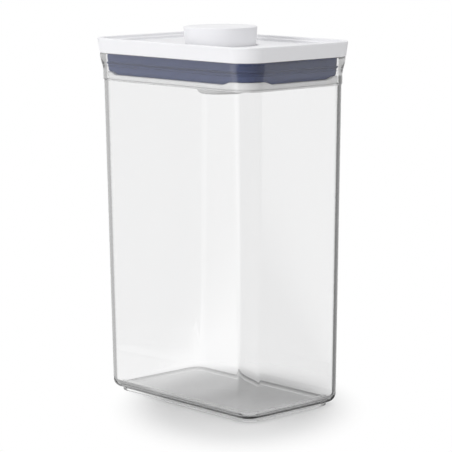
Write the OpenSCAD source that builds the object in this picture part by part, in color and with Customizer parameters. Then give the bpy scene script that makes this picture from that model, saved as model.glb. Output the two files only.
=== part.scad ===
// Airtight push-button storage jar: a clear tapered jar and a lift-off lid with an expanding seal.
// Millimetres, +Z up. The origin is the middle of the foot, on the surface that the jar stands on.
// +X runs along the long side of the plan, and -Y is the front.

/* [Lid] */
// Width of the lid along X
lid_w = 160; // [140:1:200]
// Depth of the lid along Y
lid_d = 101; // [96:1:130]
// Corner radius of the lid in plan
lid_r = 18; // [16.5:0.5:22]
// Height of the lid's rim above the jar
rim_h = 10; // [7:0.5:14]
// How far the rim draws in from its top to its lower edge
rim_draft = 1.4; // [0.5:0.1:2]
// Width of the rim's top
rim_top_w = 3.4; // [2.6:0.1:5]
// Depth of the deck below the rim's top
deck_drop = 3.9; // [3:0.1:5]
// Height of the upper part of the recess's wall, above its sloped ledge
recess_wall_h = 1.6; // [1:0.1:2]
// Width and height of that ledge
recess_ledge = 0.7; // [0.4:0.1:0.9]
// Thickness of the deck
deck_t = 2.4; // [1.8:0.1:3]
// Wall thickness of the rim
rim_t = 2.2; // [1.8:0.1:3]

/* [Jar] */
// Height of the jar to its top edge
jar_h = 234; // [120:1:320]
// Thickness of the jar's wall
wall_t = 2.4; // [1.8:0.1:3]
// Thickness of the jar's floor
floor_t = 3; // [2:0.1:5]
// Inset of the jar's wall under the lid's outline, at the step
jar_inset = 4.4; // [3.8:0.1:5]
// How far the wall draws in from the step to the floor
jar_taper = 3.4; // [1:0.1:4]
// Outward step of the wall at the sealing band
band_step = 0.6; // [0.3:0.1:1]
// How far the lip flares beyond the sealing band
lip_flare = 2.1; // [1:0.1:2.3]
// Height of the upright part of the lip
lip_h = 1.2; // [1:0.1:5]
// Height over which the lip flares
flare_h = 7.5; // [3:0.1:9]
// Radius of the jar's lower edge
bottom_r = 6; // [4:0.5:7]
// Radius between the floor and the wall inside
floor_r = 4; // [2:0.5:5]
// Height of the foot ring
foot_h = 2.2; // [1:0.1:4]
// Inset of the foot ring under the wall
foot_inset = 4.9; // [3:0.1:6.5]
// Corner radius of the foot ring
foot_r = 9.7; // [7:0.1:14]
// Width of the foot ring
foot_ring_w = 3; // [2:0.1:4]

/* [Seal] */
// Thickness of the gasket's band
gasket_t = 2; // [1.4:0.1:2.4]
// How far the sealing lip stands out of the band
lip_out = 1.8; // [1:0.1:2.4]
// Clearance of the sealing lip from the jar with the button up
seal_gap = 0.3; // [0.3:0.05:0.8]
// Thickness of the gasket's top flange
flange_t = 1.5; // [1:0.1:2]
// Width of the gasket's top flange behind the band
flange_w = 2; // [1:0.1:2.4]
// Height of the seal's rounded lower edge
seal_edge_h = 4; // [1:0.1:4.5]
// How far that edge draws in
seal_edge_w = 1.5; // [0.4:0.1:1.6]
// How much shorter the band is at the corners, where its seat is raised
corner_lift = 2; // [1:0.1:3]
// Length of the front right and rear left raised corners along each side, up to their slopes
corner_reach = 4; // [2:0.5:6]
// Length of each slope between those corners and a side
slope_len = 7; // [4:0.5:9]
// Length of the other two raised corners along each side, up to their slopes
short_reach = 0.5; // [0.5:0.5:4]
// Length of each slope between those corners and a side
short_slope_len = 4; // [3:0.5:7]

/* [Button] */
// Diameter of the button's top edge
button_d = 49.3; // [40:0.1:52]
// Full travel of the button: latched, it is flush with the deck, and it stops a little lower
button_rise = 13.2; // [9:0.1:15]
// How much the button's radius grows per millimetre of height
button_flare = 0.08; // [0.05:0.01:0.1]
// Radius of the button's top edge
button_edge_r = 0.7; // [0.5:0.1:3]
// Thickness of the button's top
cap_t = 2.6; // [1.8:0.1:3.5]
// Thickness of the button's skirt
skirt_t = 1.8; // [1.4:0.1:2.4]
// Thickness of the cap's ribs and of the pushers' gussets
rib_t = 1.4; // [1:0.1:2]

/* [Lid base] */
// Thickness of the lid base's floor
base_t = 1.6; // [1.2:0.1:2.4]
// Radius of the lid base's lower edge
base_edge_r = 3.8; // [2:0.1:4]
// Height of the lid base's flange under the sides of the seal
base_flange_h = 4.1; // [4:0.1:6]
// How far that flange stands out past the seal's band
base_flange_out = 1.2; // [0.6:0.1:1.6]
// Thickness of the upstand and the corner posts
post_t = 1.6; // [1.2:0.1:2]

/* [Spring cup] */
// Outer radius of the cup that hangs under the lid base
cup_r = 15; // [14.5:0.1:16]
// How far the cup hangs below the lid base
cup_drop = 7.3; // [5:0.1:12]
// Wall thickness of the cup
cup_wall_t = 1.6; // [1.2:0.1:2]
// Thickness of the cup's floor and of its flange
cup_floor_t = 2; // [1.4:0.1:3]
// Width of the cup's flange
cup_flange_w = 3.8; // [2:0.1:4]
// Radius of the pin that guides the spring
pin_r = 3.4; // [2.5:0.1:3.6]

/* [Button core] */
// Outer radius of the core's tube
core_r = 8.5; // [8:0.1:9]
// Bore radius of the core's tube
core_bore_r = 6.2; // [6:0.1:6.6]
// Radius of the core's top disc
disc_r = 12; // [11:0.1:13]
// Thickness of the core's top disc
disc_t = 1.8; // [1.2:0.1:2.5]

/* [Spring and latch] */
// Diameter of the spring's wire
spring_wire_d = 1; // [0.8:0.1:1.2]
// Mean diameter of the spring
spring_d = 9.7; // [9.2:0.1:10.2]
// Number of turns of the spring
spring_turns = 8; // [5:1:10]
// Diameter of the latch's wire
latch_wire_d = 1.2; // [0.9:0.1:1.3]
// Depth of the latch's track
track_depth = 1.3; // [1:0.1:1.5]
// Half width of the heart in the latch's track
heart_half_w = 1.7; // [1.5:0.1:1.9]
// Width of the lanes round the heart
lane_w = 1.9; // [1.7:0.1:2]
// How far the button goes past the latch's catch
overtravel = 0.7; // [0.6:0.1:1]

/* [Pushers] */
// Thickness of the pushers' arms
arm_t = 2.1; // [1.6:0.1:2.6]
// Width of the pushers' arms
arm_w = 16; // [10:0.5:18]
// Thickness of the pushers' pads
pad_t = 2.5; // [1.8:0.1:3]
// Free length between a pad's end and the corner
pad_end_gap = 7; // [4:0.5:12]
// Length of each guide along its arm
guide_len = 4.5; // [3:0.1:4.8]
// Wall thickness of the guides and the well's collar
guide_t = 1.8; // [1.4:0.1:2.2]

/* [Fits] */
// Running gap between pieces that move past each other
run_gap = 0.3; // [0.2:0.05:0.4]
// Gap between pieces that are fixed to each other side by side
fix_gap = 0.1; // [0.05:0.05:0.2]

/* [Hidden] */
$fn = 96;
CLEAR_PLASTIC = [0.86, 0.9, 0.9, 0.35];
WHITE_PLASTIC = [0.94, 0.94, 0.95];
PALE_PLASTIC = [0.86, 0.87, 0.88];
SEAL_GREY = [0.38, 0.41, 0.5];
ACETAL = [0.9, 0.89, 0.85];
STEEL = [0.72, 0.73, 0.75];

// Overlap of pieces of one solid, and a cut's reach past a face
eps = 0.5;

// Centre of the corner at +X +Y, which all the rounded outlines share
corner_x = lid_w / 2 - lid_r;
corner_y = lid_d / 2 - lid_r;

// Distances out from the corner centre: jar
wall_top_u = lid_r - jar_inset;
wall_low_u = wall_top_u - jar_taper;
band_u = wall_top_u + band_step;
lip_u = band_u + lip_flare;
seal_wall_u = band_u - wall_t;
lip_edge_r = 0.8;
lip_lead = 0.6;

// Distances out from the corner centre: lid
rim_low_u = lid_r - rim_draft;
seal_lip_u = seal_wall_u - seal_gap;
band_out_u = seal_lip_u - lip_out;
band_in_u = band_out_u - gasket_t;
flange_in_u = band_in_u - flange_w;
shoulder_out_u = band_out_u + fix_gap;
shoulder_in_u = flange_in_u - fix_gap;
post_out_u = shoulder_in_u - fix_gap;
post_in_u = post_out_u - post_t;
upstand_out_u = band_in_u - fix_gap;
upstand_in_u = upstand_out_u - post_t;
base_out_u = band_out_u + base_flange_out;
base_flange_w = base_out_u - upstand_out_u;
pad_out_u = band_in_u - run_gap;
pad_in_u = pad_out_u - pad_t;

// Heights of the lid
rim_z = jar_h + rim_h;
deck_z = rim_z - deck_drop;
under_z = deck_z - deck_t;
shoulder_h = 2.7;
flange_z1 = under_z - shoulder_h;
flange_z0 = flange_z1 - flange_t;
arm_z1 = flange_z0 - run_gap;
arm_z0 = arm_z1 - arm_t;
skirt_reach = 0.4;
skirt_z = arm_z0 - skirt_reach;
floor_gap = 0.6;
base_floor_z = skirt_z - button_rise - floor_gap;
base_z = base_floor_z - base_t;
seat_z = base_z + base_flange_h;
corner_seat_z = seat_z + corner_lift;
upstand_h = 1;
upstand_z = corner_seat_z + upstand_h;
pad_z0 = upstand_z + run_gap;
pad_z1 = flange_z0 - 2 * run_gap;

// Heights of the jar
step_above_base = 0.2;
step_z = base_z + step_above_base;
floor_z = foot_h + floor_t;

// Button and its well
button_r = button_d / 2;
button_z = deck_z + button_rise - overtravel;
cap_in_z = button_z - cap_t;
well_r = button_r + run_gap;
well_edge_r = 1;
collar_r = well_r + guide_t;
collar_lift = 1;
collar_z = arm_z1 + run_gap + collar_lift;
tab_h = 2;
tab_z = skirt_z + tab_h;
tab_r = collar_r - run_gap;
tab_angle = 20;
stop_angle = 24;
stop_z = tab_z + run_gap;
cap_ribs = 8;
cap_rib_h = 4;

// Core, cup and spring
cup_z = base_z - cup_drop;
cup_floor_z = cup_z + cup_floor_t;
cup_in_r = cup_r - cup_wall_t;
cup_edge_r = 1.5;
core_z = cup_floor_z + button_rise + floor_gap;
disc_z = cap_in_z - disc_t;
socket_t = 1.6;
socket_h = 3.5;
pin_z = disc_z - button_rise - floor_gap;
pin_lead = 0.8;
spring_seat_gap = 0.05;

// Latch: the wire stands in the cup and its tip runs in a heart track on the core
latch_r = latch_wire_d / 2;
cam_wall = 1.7;
cam_face_x = core_r + cam_wall;
cam_floor_x = cam_face_x - track_depth;
cam_side = 1.2;
cam_half_w = heart_half_w + lane_w + cam_side;
tip_above_core = 2.5;
tip_z = core_z + tip_above_core;
catch_z = tip_z + button_rise - overtravel;
tip_room = 0.3;
heart_gap = 1.4;
heart_low_z = tip_z + 2 * latch_r + heart_gap;
heart_wide_z = heart_low_z + 2 * heart_half_w;
notch_half_w = 1.2;
cusp_clear = 0.1;
heart_top_z = tip_z + button_rise - latch_r - cusp_clear;
notch_z = catch_z - latch_r;
cusp_drop = 0.5;
track_clear = 0.8;
track_top_z = tip_z + button_rise + latch_r + track_clear;
wire_boss_half_w = 1.8;
wire_boss_h = 4;
wire_back = 0.2;
wire_x = cup_in_r - wire_boss_half_w + wire_back;
wire_bend_r = 1.4;
wire_fit = 0.05;

// Pushers and their guides
nose_r_at_zero = button_r - button_flare * button_z + run_gap;
guide_gap = 1.5;
pad_clear = 1;
guide_r0 = collar_r + guide_gap;
gusset_len = 5;
gusset_h = 6;
gusset_y = 5;
support_t = 1.6;

// Points of an arc round a centre, from one angle to another
function arc(c, r, a0, a1, n = 8) =
    [for (i = [0:n]) let (a = a0 + (a1 - a0) * i / n) [c.x + r * cos(a), c.y + r * sin(a)]];

// Radius of the button's flared side at a height, with the button up
function button_r_at(z) = button_r - button_flare * (button_z - z);

// Distance from the middle to the corner centre, across and along a side: even sides face X
function side_out(i) = i % 2 == 0 ? corner_x : corner_y;
function side_half(i) = i % 2 == 0 ? corner_y : corner_x;

// Carries a profile of distance out and height round the four sides and corners of an outline
module around(half_x = corner_x, half_y = corner_y) {
    for (i = [0:3])
        translate([(i == 0 || i == 3 ? 1 : -1) * half_x, (i < 2 ? 1 : -1) * half_y, 0])
            rotate(90 * i)
                rotate_extrude(angle = 90) children();
    for (turn = [0, 180]) {
        rotate(turn) translate([half_x, half_y, 0]) rotate([90, 0, 0])
            linear_extrude(2 * half_y) children();
        rotate(turn + 90) translate([half_y, half_x, 0]) rotate([90, 0, 0])
            linear_extrude(2 * half_x) children();
    }
}

// Plate that fills the middle of an outline between the corner centres
module middle(z0, z1) {
    translate([-corner_x, -corner_y, z0]) cube([2 * corner_x, 2 * corner_y, z1 - z0]);
}

// Block at the front right corner, with a slope down along each side
module raised_corner(u0, u1, reach, slope) {
    low_z = seat_z - eps;
    translate([corner_x, -corner_y, 0]) {
        rotate(-90) rotate_extrude(angle = 90)
            translate([u0, low_z]) square([u1 - u0, corner_seat_z - low_z]);
        for (side = [0, 1])
            mirror([side, side, 0]) translate([u0, 0, 0]) rotate([90, 0, 90])
                linear_extrude(u1 - u0)
                    polygon([[-eps, low_z], [-eps, corner_seat_z], [reach, corner_seat_z],
                             [reach + slope, seat_z], [reach + slope, low_z]]);
    }
}

// Raised corners: long ones front right and rear left, short ones at the other two
module raised_corners(u0, u1) {
    for (turn = [0, 180])
        rotate(turn) {
            raised_corner(u0, u1, corner_reach, slope_len);
            mirror([1, 0, 0]) raised_corner(u0, u1, short_reach, short_slope_len);
        }
}

// Clear jar: tapered wall, stepped sealing band and flared lip
module jar_profile() {
    polygon(concat(
        [[0, foot_h]],
        arc([wall_low_u - bottom_r, foot_h + bottom_r], bottom_r, -90, 0),
        [[wall_top_u, step_z], [band_u, step_z + band_step]],
        [[band_u, jar_h - lip_h - flare_h], [lip_u, jar_h - lip_h]],
        arc([lip_u - lip_edge_r, jar_h - lip_edge_r], lip_edge_r, 0, 90, 4),
        [[seal_wall_u + lip_lead, jar_h], [seal_wall_u, jar_h - lip_lead]],
        [[seal_wall_u, step_z + band_step], [wall_top_u - wall_t, step_z]],
        arc([wall_low_u - wall_t - floor_r, floor_z + floor_r], floor_r, 0, -90),
        [[0, floor_z]]));
}

module jar() {
    color(CLEAR_PLASTIC) {
        around() jar_profile();
        middle(foot_h, floor_z);
        // Foot ring, with its own corner radius
        around(corner_x + wall_low_u - foot_inset - foot_r, corner_y + wall_low_u - foot_inset - foot_r)
            translate([foot_r - foot_ring_w, 0])
                square([foot_ring_w, foot_h + floor_t / 2]);
    }
}

// White lid cover: drafted rim, recessed deck, button well and the arms' guides
module cover_profile() {
    rim_edge_r = 0.7;
    inner_edge_r = 0.6;
    rim_in_u = lid_r - rim_top_w;
    polygon(concat(
        [[0, under_z], [shoulder_in_u, under_z], [shoulder_in_u, flange_z1]],
        [[shoulder_out_u, flange_z1], [shoulder_out_u, under_z]],
        [[rim_low_u - rim_t, under_z], [rim_low_u - rim_t, jar_h], [rim_low_u, jar_h]],
        arc([lid_r - rim_edge_r, rim_z - rim_edge_r], rim_edge_r, 0, 90, 5),
        arc([rim_in_u + inner_edge_r, rim_z - inner_edge_r], inner_edge_r, 90, 180, 4),
        [[rim_in_u, rim_z - recess_wall_h], [rim_in_u - recess_ledge, rim_z - recess_wall_h - recess_ledge]],
        [[rim_in_u - recess_ledge, deck_z], [0, deck_z]]));
}

// Saddle under the deck that holds one arm down and sideways
module guide(r) {
    half_w = arm_w / 2 + run_gap + guide_t;
    difference() {
        translate([r, -half_w, arm_z0 + run_gap])
            cube([guide_len, 2 * half_w, under_z - arm_z0 - run_gap + eps]);
        translate([r - eps, -arm_w / 2 - run_gap, arm_z0 - eps])
            cube([guide_len + 2 * eps, arm_w + 2 * run_gap, arm_t + run_gap + eps]);
    }
}

// Distance from the middle to the back of a pad on a side
function pad_back(i) = side_out(i) + pad_in_u;

// Places along an arm that have a guide: one by the well, and one by the pad on a long arm
function guide_places(i) =
    let (last = pad_back(i) - gusset_len - guide_len - pad_clear)
    last > guide_r0 + 3 * guide_len ? [guide_r0, last] : [guide_r0];

module lid_cover() {
    color(WHITE_PLASTIC) {
        difference() {
            union() {
                around() cover_profile();
                middle(under_z, deck_z);
            }
            translate([0, 0, under_z - eps])
                cylinder(r = well_r + guide_t / 2, h = deck_t + 2 * eps);
        }
        // Well collar with a rounded upper edge
        rotate_extrude()
            polygon(concat(
                [[collar_r, collar_z], [collar_r, deck_z]],
                arc([well_r + well_edge_r, deck_z - well_edge_r], well_edge_r, 90, 180, 5),
                [[well_r, collar_z]]));
        // Four stops on the collar, which the button's tabs meet
        for (i = [0:3])
            rotate(90 * i + 45 - stop_angle / 2)
                rotate_extrude(angle = stop_angle)
                    translate([well_r + fix_gap, stop_z])
                        square([guide_t - 2 * fix_gap, collar_z - stop_z + eps]);
        for (i = [0:3], r = guide_places(i))
            rotate(90 * i) guide(r);
    }
}

// Silicone seal: band with a sealing lip and a lower ridge, and a flange under the deck's shoulder
module gasket_profile() {
    lip_z = flange_z1 - 6.6;
    lip_t = 0.3;
    root_h = 1.6;
    ridge_out = 0.9;
    ridge_h = 1.4;
    ridge_z = lip_z - root_h - ridge_h;
    edge_r = (pow(seal_edge_h, 2) + pow(seal_edge_w, 2)) / (2 * seal_edge_w);
    edge_angle = asin(seal_edge_h / edge_r);
    polygon(concat(
        [[band_in_u, seat_z]],
        arc([band_out_u - edge_r, seat_z + seal_edge_h], edge_r, -edge_angle, 0, 5),
        [[band_out_u, ridge_z], [band_out_u + ridge_out, ridge_z + ridge_h / 2], [band_out_u, ridge_z + ridge_h]],
        [[band_out_u, lip_z - root_h], [seal_lip_u, lip_z - lip_t], [seal_lip_u, lip_z]],
        [[band_out_u, lip_z + lip_t], [band_out_u, flange_z1]],
        [[flange_in_u, flange_z1], [flange_in_u, flange_z0], [band_in_u, flange_z0]]));
}

module gasket() {
    color(SEAL_GREY)
        difference() {
            around() gasket_profile();
            raised_corners(band_in_u - eps, band_out_u + eps);
        }
}

// Lid base: tray that closes the lid from below, with posts up to the deck
module base_profile() {
    polygon(concat(
        [[0, base_z]],
        arc([base_out_u - base_edge_r, base_z + base_edge_r], base_edge_r, -90, 0, 6),
        [[base_out_u, corner_seat_z], [upstand_out_u, corner_seat_z]],
        [[upstand_out_u, upstand_z], [upstand_in_u, upstand_z]],
        [[upstand_in_u, base_floor_z], [0, base_floor_z]]));
}

module lid_base() {
    color(PALE_PLASTIC) {
        difference() {
            union() {
                around() base_profile();
                middle(base_z, base_floor_z);
            }
            // Seat of the seal, lower than the raised corners
            difference() {
                around() translate([upstand_out_u, seat_z]) square([base_flange_w + eps, corner_lift + eps]);
                raised_corners(upstand_out_u - eps, base_out_u + 2 * eps);
            }
            translate([0, 0, base_z - eps]) cylinder(r = cup_r + wire_fit, h = base_t + 2 * eps);
        }
        // Corner posts
        for (i = [0:3])
            translate([(i == 0 || i == 3 ? 1 : -1) * corner_x, (i < 2 ? 1 : -1) * corner_y, 0])
                rotate(90 * i)
                    rotate_extrude(angle = 90)
                        translate([post_in_u, base_floor_z - eps])
                            square([post_t, under_z - base_floor_z + eps]);
        // Ribs that the arms slide on
        for (i = [0:3], r = guide_places(i))
            rotate(90 * i)
                translate([r + guide_len / 2 - support_t / 2, -arm_w / 2, base_floor_z - eps])
                    cube([support_t, arm_w, arm_z0 - run_gap - base_floor_z + eps]);
    }
}

// Cup under the lid base: spring seat, guide pin and socket of the latch's wire
module spring_cup() {
    color(PALE_PLASTIC)
        difference() {
            union() {
                rotate_extrude()
                    polygon(concat(
                        [[0, cup_z]],
                        arc([cup_r - cup_edge_r, cup_z + cup_edge_r], cup_edge_r, -90, 0, 5),
                        [[cup_r, base_floor_z], [cup_r + cup_flange_w, base_floor_z]],
                        [[cup_r + cup_flange_w, base_floor_z + cup_floor_t],
                         [cup_in_r, base_floor_z + cup_floor_t], [cup_in_r, cup_floor_z]],
                        [[pin_r, cup_floor_z], [pin_r, pin_z - pin_lead], [pin_r - pin_lead, pin_z], [0, pin_z]]));
                translate([cam_face_x + run_gap, -wire_boss_half_w, cup_floor_z - eps])
                    cube([cup_in_r + eps - cam_face_x - run_gap, 2 * wire_boss_half_w, wire_boss_h + eps]);
            }
            translate([wire_x, 0, cup_floor_z]) cylinder(r = latch_r + wire_fit, h = wire_boss_h + eps);
        }
}

// Spring wire whose bent tip follows the heart track
module latch_wire() {
    tip_x = cam_floor_x + tip_room;
    stand_z = cup_floor_z + wire_fit;
    color(STEEL) {
        translate([wire_x, 0, stand_z]) cylinder(r = latch_r, h = tip_z - wire_bend_r - stand_z);
        translate([wire_x - wire_bend_r, 0, tip_z - wire_bend_r]) rotate([90, 0, 0])
            rotate_extrude(angle = 90) translate([wire_bend_r, 0]) circle(r = latch_r);
        translate([tip_x, 0, tip_z]) rotate([0, 90, 0])
            cylinder(r = latch_r, h = wire_x - wire_bend_r - tip_x);
    }
}

// Compression spring: one round wire along a helix
spring_sides = 6;
spring_rings = 12;
spring_z0 = cup_floor_z + spring_seat_gap + spring_wire_d / 2;
spring_z1 = disc_z - spring_seat_gap - spring_wire_d / 2;
spring_pitch = (spring_z1 - spring_z0) / spring_turns;
spring_slope = atan2(spring_pitch, PI * spring_d);
function spring_centre(turn) =
    [spring_d / 2 * cos(360 * turn), spring_d / 2 * sin(360 * turn), spring_z0 + spring_pitch * turn];
// Point of the wire's section: one axis points out, the other is square to it and to the helix
function spring_point(turn, a) =
    let (out = [cos(360 * turn), sin(360 * turn), 0],
         up = [sin(spring_slope) * sin(360 * turn), -sin(spring_slope) * cos(360 * turn), cos(spring_slope)])
    spring_centre(turn) + spring_wire_d / 2 * (cos(a) * out + sin(a) * up);
// Least gap between one point of the wire and the turn next to it
spring_least_gap = min([for (i = [spring_rings / 2:3 * spring_rings / 2])
    norm(spring_centre(0) - spring_centre(i / spring_rings))]) - spring_wire_d;

module return_spring() {
    last = spring_turns * spring_rings;
    points = [for (i = [0:last], k = [0:spring_sides - 1])
        spring_point(i / spring_rings, 360 * k / spring_sides)];
    walls = [for (i = [0:last - 1], k = [0:spring_sides - 1])
        let (a = i * spring_sides + k, b = i * spring_sides + (k + 1) % spring_sides)
        each [[a, a + spring_sides, b], [b, a + spring_sides, b + spring_sides]]];
    start_face = [for (k = [1:spring_sides - 2]) [0, k, k + 1]];
    end_face = [for (k = [1:spring_sides - 2])
        [last * spring_sides, last * spring_sides + k + 1, last * spring_sides + k]];
    color(STEEL) polyhedron(points, concat(walls, start_face, end_face));
}

// Round button: flared cap with stop tabs, stiffening ribs and a socket for the core
module push_button() {
    low_r = button_r_at(skirt_z);
    edge_z = button_z - button_edge_r;
    color(WHITE_PLASTIC) {
        rotate_extrude()
            polygon(concat(
                [[low_r - skirt_t, skirt_z], [low_r, skirt_z]],
                arc([button_r_at(edge_z) - button_edge_r, edge_z], button_edge_r, 0, 90, 6),
                [[0, button_z], [0, cap_in_z], [button_r_at(cap_in_z) - skirt_t, cap_in_z]]));
        rotate_extrude()
            translate([disc_r + fix_gap, cap_in_z - socket_h]) square([socket_t, socket_h + cap_t / 2]);
        for (i = [0:cap_ribs - 1])
            rotate(360 * (i + 0.5) / cap_ribs)
                translate([disc_r + fix_gap + socket_t / 2, -rib_t / 2, cap_in_z - cap_rib_h])
                    cube([button_r_at(cap_in_z - cap_rib_h) - skirt_t / 2 - disc_r - fix_gap - socket_t / 2,
                          rib_t, cap_rib_h + cap_t / 2]);
        for (i = [0:3])
            rotate(90 * i + 45 - tab_angle / 2)
                rotate_extrude(angle = tab_angle)
                    translate([low_r - skirt_t / 2, skirt_z]) square([tab_r - low_r + skirt_t / 2, tab_h]);
    }
}

// Latch track: a lane on each side of a heart whose upper notch catches the wire's tip
module heart_track() {
    difference() {
        lane = heart_half_w + lane_w;
        pocket = latch_r + tip_room;
        polygon([[-pocket, tip_z - pocket], [pocket, tip_z - pocket], [lane, heart_wide_z - lane_w],
                 [lane, heart_top_z], [latch_r + lane_w, track_top_z], [-latch_r - lane_w, track_top_z],
                 [-lane, heart_top_z], [-lane, heart_wide_z - lane_w]]);
        polygon([[0, heart_low_z], [heart_half_w, heart_wide_z], [heart_half_w, heart_top_z - cusp_drop],
                 [notch_half_w, heart_top_z], [0, notch_z], [-notch_half_w, heart_top_z],
                 [-heart_half_w, heart_top_z - cusp_drop], [-heart_half_w, heart_wide_z]]);
    }
}

// Button core: spring tube with the heart track on one face
module button_core() {
    cam_top_margin = 1.5;
    color(ACETAL)
        difference() {
            union() {
                translate([0, 0, disc_z]) cylinder(r = disc_r, h = disc_t);
                translate([0, 0, core_z]) cylinder(r = core_r, h = disc_z - core_z + disc_t / 2);
                translate([0, -cam_half_w, core_z])
                    cube([cam_face_x, 2 * cam_half_w, track_top_z + cam_top_margin - core_z]);
            }
            translate([0, 0, core_z - eps]) cylinder(r = core_bore_r, h = disc_z - core_z + eps);
            translate([cam_floor_x, 0, 0]) rotate([90, 0, 90])
                linear_extrude(track_depth + eps) heart_track();
        }
}

// Pusher: pad behind the seal, and an arm whose hollowed nose rides on the button's flared side
module pusher(i) {
    out = side_out(i);
    pad_half = side_half(i) - pad_end_gap;
    nose_r = button_r_at(arm_z0);
    color(ACETAL)
        rotate(90 * i) {
            difference() {
                translate([nose_r - arm_w / 2, -arm_w / 2, arm_z0])
                    cube([out + pad_out_u - nose_r + arm_w / 2, arm_w, arm_t]);
                translate([0, 0, arm_z0 - eps])
                    cylinder(r1 = nose_r_at_zero + button_flare * (arm_z0 - eps),
                             r2 = nose_r_at_zero + button_flare * (arm_z1 + eps), h = arm_t + 2 * eps);
            }
            translate([out + pad_in_u, -pad_half, pad_z0]) cube([pad_t, 2 * pad_half, pad_z1 - pad_z0]);
            for (y = [-gusset_y, gusset_y])
                translate([out + pad_in_u, y + rib_t / 2, arm_z0]) rotate([90, 0, 0])
                    linear_extrude(rib_t)
                        polygon([[eps, eps], [-gusset_len, eps], [-gusset_len, 0], [0, -gusset_h], [eps, -gusset_h]]);
        }
}

module pusher_right() { pusher(0); }
module pusher_rear() { pusher(1); }
module pusher_left() { pusher(2); }
module pusher_front() { pusher(3); }

echo(spring_least_gap_mm = spring_least_gap);

jar();
lid_cover();
gasket();
lid_base();
spring_cup();
latch_wire();
return_spring();
push_button();
button_core();
pusher_front();
pusher_rear();
pusher_left();
pusher_right();
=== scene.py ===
"""Airtight push-button jar: its looks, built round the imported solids.

Each new surface is a grid. Its rows are a profile of distance out and height, and its columns are places
round an outline. Lengths are millimetres and angles are degrees where nothing else is said, and a mesh is
put into the frame in metres.
"""

import logging
import math
from dataclasses import dataclass, field
from enum import Enum
from typing import Sequence

import bmesh
import bpy
import numpy as np
from mathutils import Matrix, Vector


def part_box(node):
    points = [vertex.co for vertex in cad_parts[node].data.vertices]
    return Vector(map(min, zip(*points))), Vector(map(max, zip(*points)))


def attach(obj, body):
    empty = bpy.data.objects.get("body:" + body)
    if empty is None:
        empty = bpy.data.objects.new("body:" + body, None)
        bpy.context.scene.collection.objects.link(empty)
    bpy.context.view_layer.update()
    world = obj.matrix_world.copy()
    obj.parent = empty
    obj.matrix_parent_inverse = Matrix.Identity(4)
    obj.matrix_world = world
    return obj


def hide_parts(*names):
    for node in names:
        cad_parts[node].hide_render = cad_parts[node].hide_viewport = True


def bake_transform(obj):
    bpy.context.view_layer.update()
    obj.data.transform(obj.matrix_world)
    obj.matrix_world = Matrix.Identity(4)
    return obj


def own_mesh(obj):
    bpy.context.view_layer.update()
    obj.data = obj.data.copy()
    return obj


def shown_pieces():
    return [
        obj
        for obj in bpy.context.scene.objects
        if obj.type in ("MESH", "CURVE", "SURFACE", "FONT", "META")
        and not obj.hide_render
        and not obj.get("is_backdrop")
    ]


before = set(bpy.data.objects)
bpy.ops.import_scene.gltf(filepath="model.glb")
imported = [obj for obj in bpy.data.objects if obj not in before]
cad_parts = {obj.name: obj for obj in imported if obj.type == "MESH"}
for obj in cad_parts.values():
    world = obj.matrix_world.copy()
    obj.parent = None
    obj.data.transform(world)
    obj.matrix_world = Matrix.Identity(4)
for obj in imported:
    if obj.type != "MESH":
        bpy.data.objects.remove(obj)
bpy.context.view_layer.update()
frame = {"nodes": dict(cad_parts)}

LOG = logging.getLogger("jar")

Pair = tuple[float, float]
Triple = tuple[float, float, float]
Piece = bpy.types.Object
Socket = bpy.types.NodeSocket

# Metres in a millimetre.
MM = 0.001
# Distance in metres under which two points of a mesh are merged.
MERGE = 2e-6
# Angle over which an edge stays sharp.
CREASE = 38.0
# A straight run longer than this gets a support point near each of its ends.
LONG_RUN = 1.0
# How far that point is from the end, and its highest share of the run.
SUPPORT = 0.25
SUPPORT_SHARE = 0.2
# Shares of a side that are closer than this are one place.
SAME_PLACE = 1e-6
# Slack for telling whether a point lies on a face.
SLACK = 0.01
# Half sizes of a round plan, which has no straight sides.
ROUND = (0.0, 0.0)
# Corner radius of the lid, from which the corner centres follow.
LID_R = 18.0
# Directions of the button's four tabs and of the stops above them.
QUARTERS = (45.0, 135.0, 225.0, 315.0)
# Range that holds nearly all values of a noise.
NOISE_RANGE = (0.25, 0.75)
WHITE = (1.0, 1.0, 1.0)


class Side(Enum):
    """Sides of the plan, as quarter turns from +X; the front faces -Y."""

    RIGHT = 0
    REAR = 1
    LEFT = 2
    FRONT = 3

    @property
    def out(self) -> np.ndarray:
        """Direction out of the plan."""
        return np.array([(1.0, 0.0), (0.0, 1.0), (-1.0, 0.0), (0.0, -1.0)][self.value])

    @property
    def along(self) -> np.ndarray:
        """Direction along the side, anticlockwise from above."""
        return np.array([-self.out[1], self.out[0]])

    @property
    def is_long(self) -> bool:
        """Whether it is the front or the rear."""
        return self.value % 2 == 1

    @property
    def before(self) -> "Side":
        """The side that comes before this one, anticlockwise."""
        return Side((self.value - 1) % 4)

    @property
    def pusher(self) -> str:
        """Body that pushes this side of the seal out."""
        return f"pusher_{self.name.lower()}"


class End(Enum):
    """Stretch of a side that one piece of the seal covers."""

    MIDDLE = 0
    AFTER = 1
    BEFORE = -1


class Rays(Enum):
    """Kinds of rays that see the white background."""

    CAMERA = "Is Camera Ray"
    GLOSSY = "Is Glossy Ray"
    TRANSMISSION = "Is Transmission Ray"


class Calc(Enum):
    """Steps of arithmetic in a node tree."""

    ADD = "ADD"
    SUBTRACT = "SUBTRACT"
    MULTIPLY = "MULTIPLY"
    LEAST = "MINIMUM"
    MOST = "MAXIMUM"


class MixSocket(Enum):
    """Places of the colour sockets on a mix node."""

    FIRST = 6
    SECOND = 7
    RESULT = 2


def directions(turns: np.ndarray) -> np.ndarray:
    """Flat directions at angles in radians: (cos, sin) of each."""
    return np.stack([np.cos(turns), np.sin(turns)], axis=1)


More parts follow.
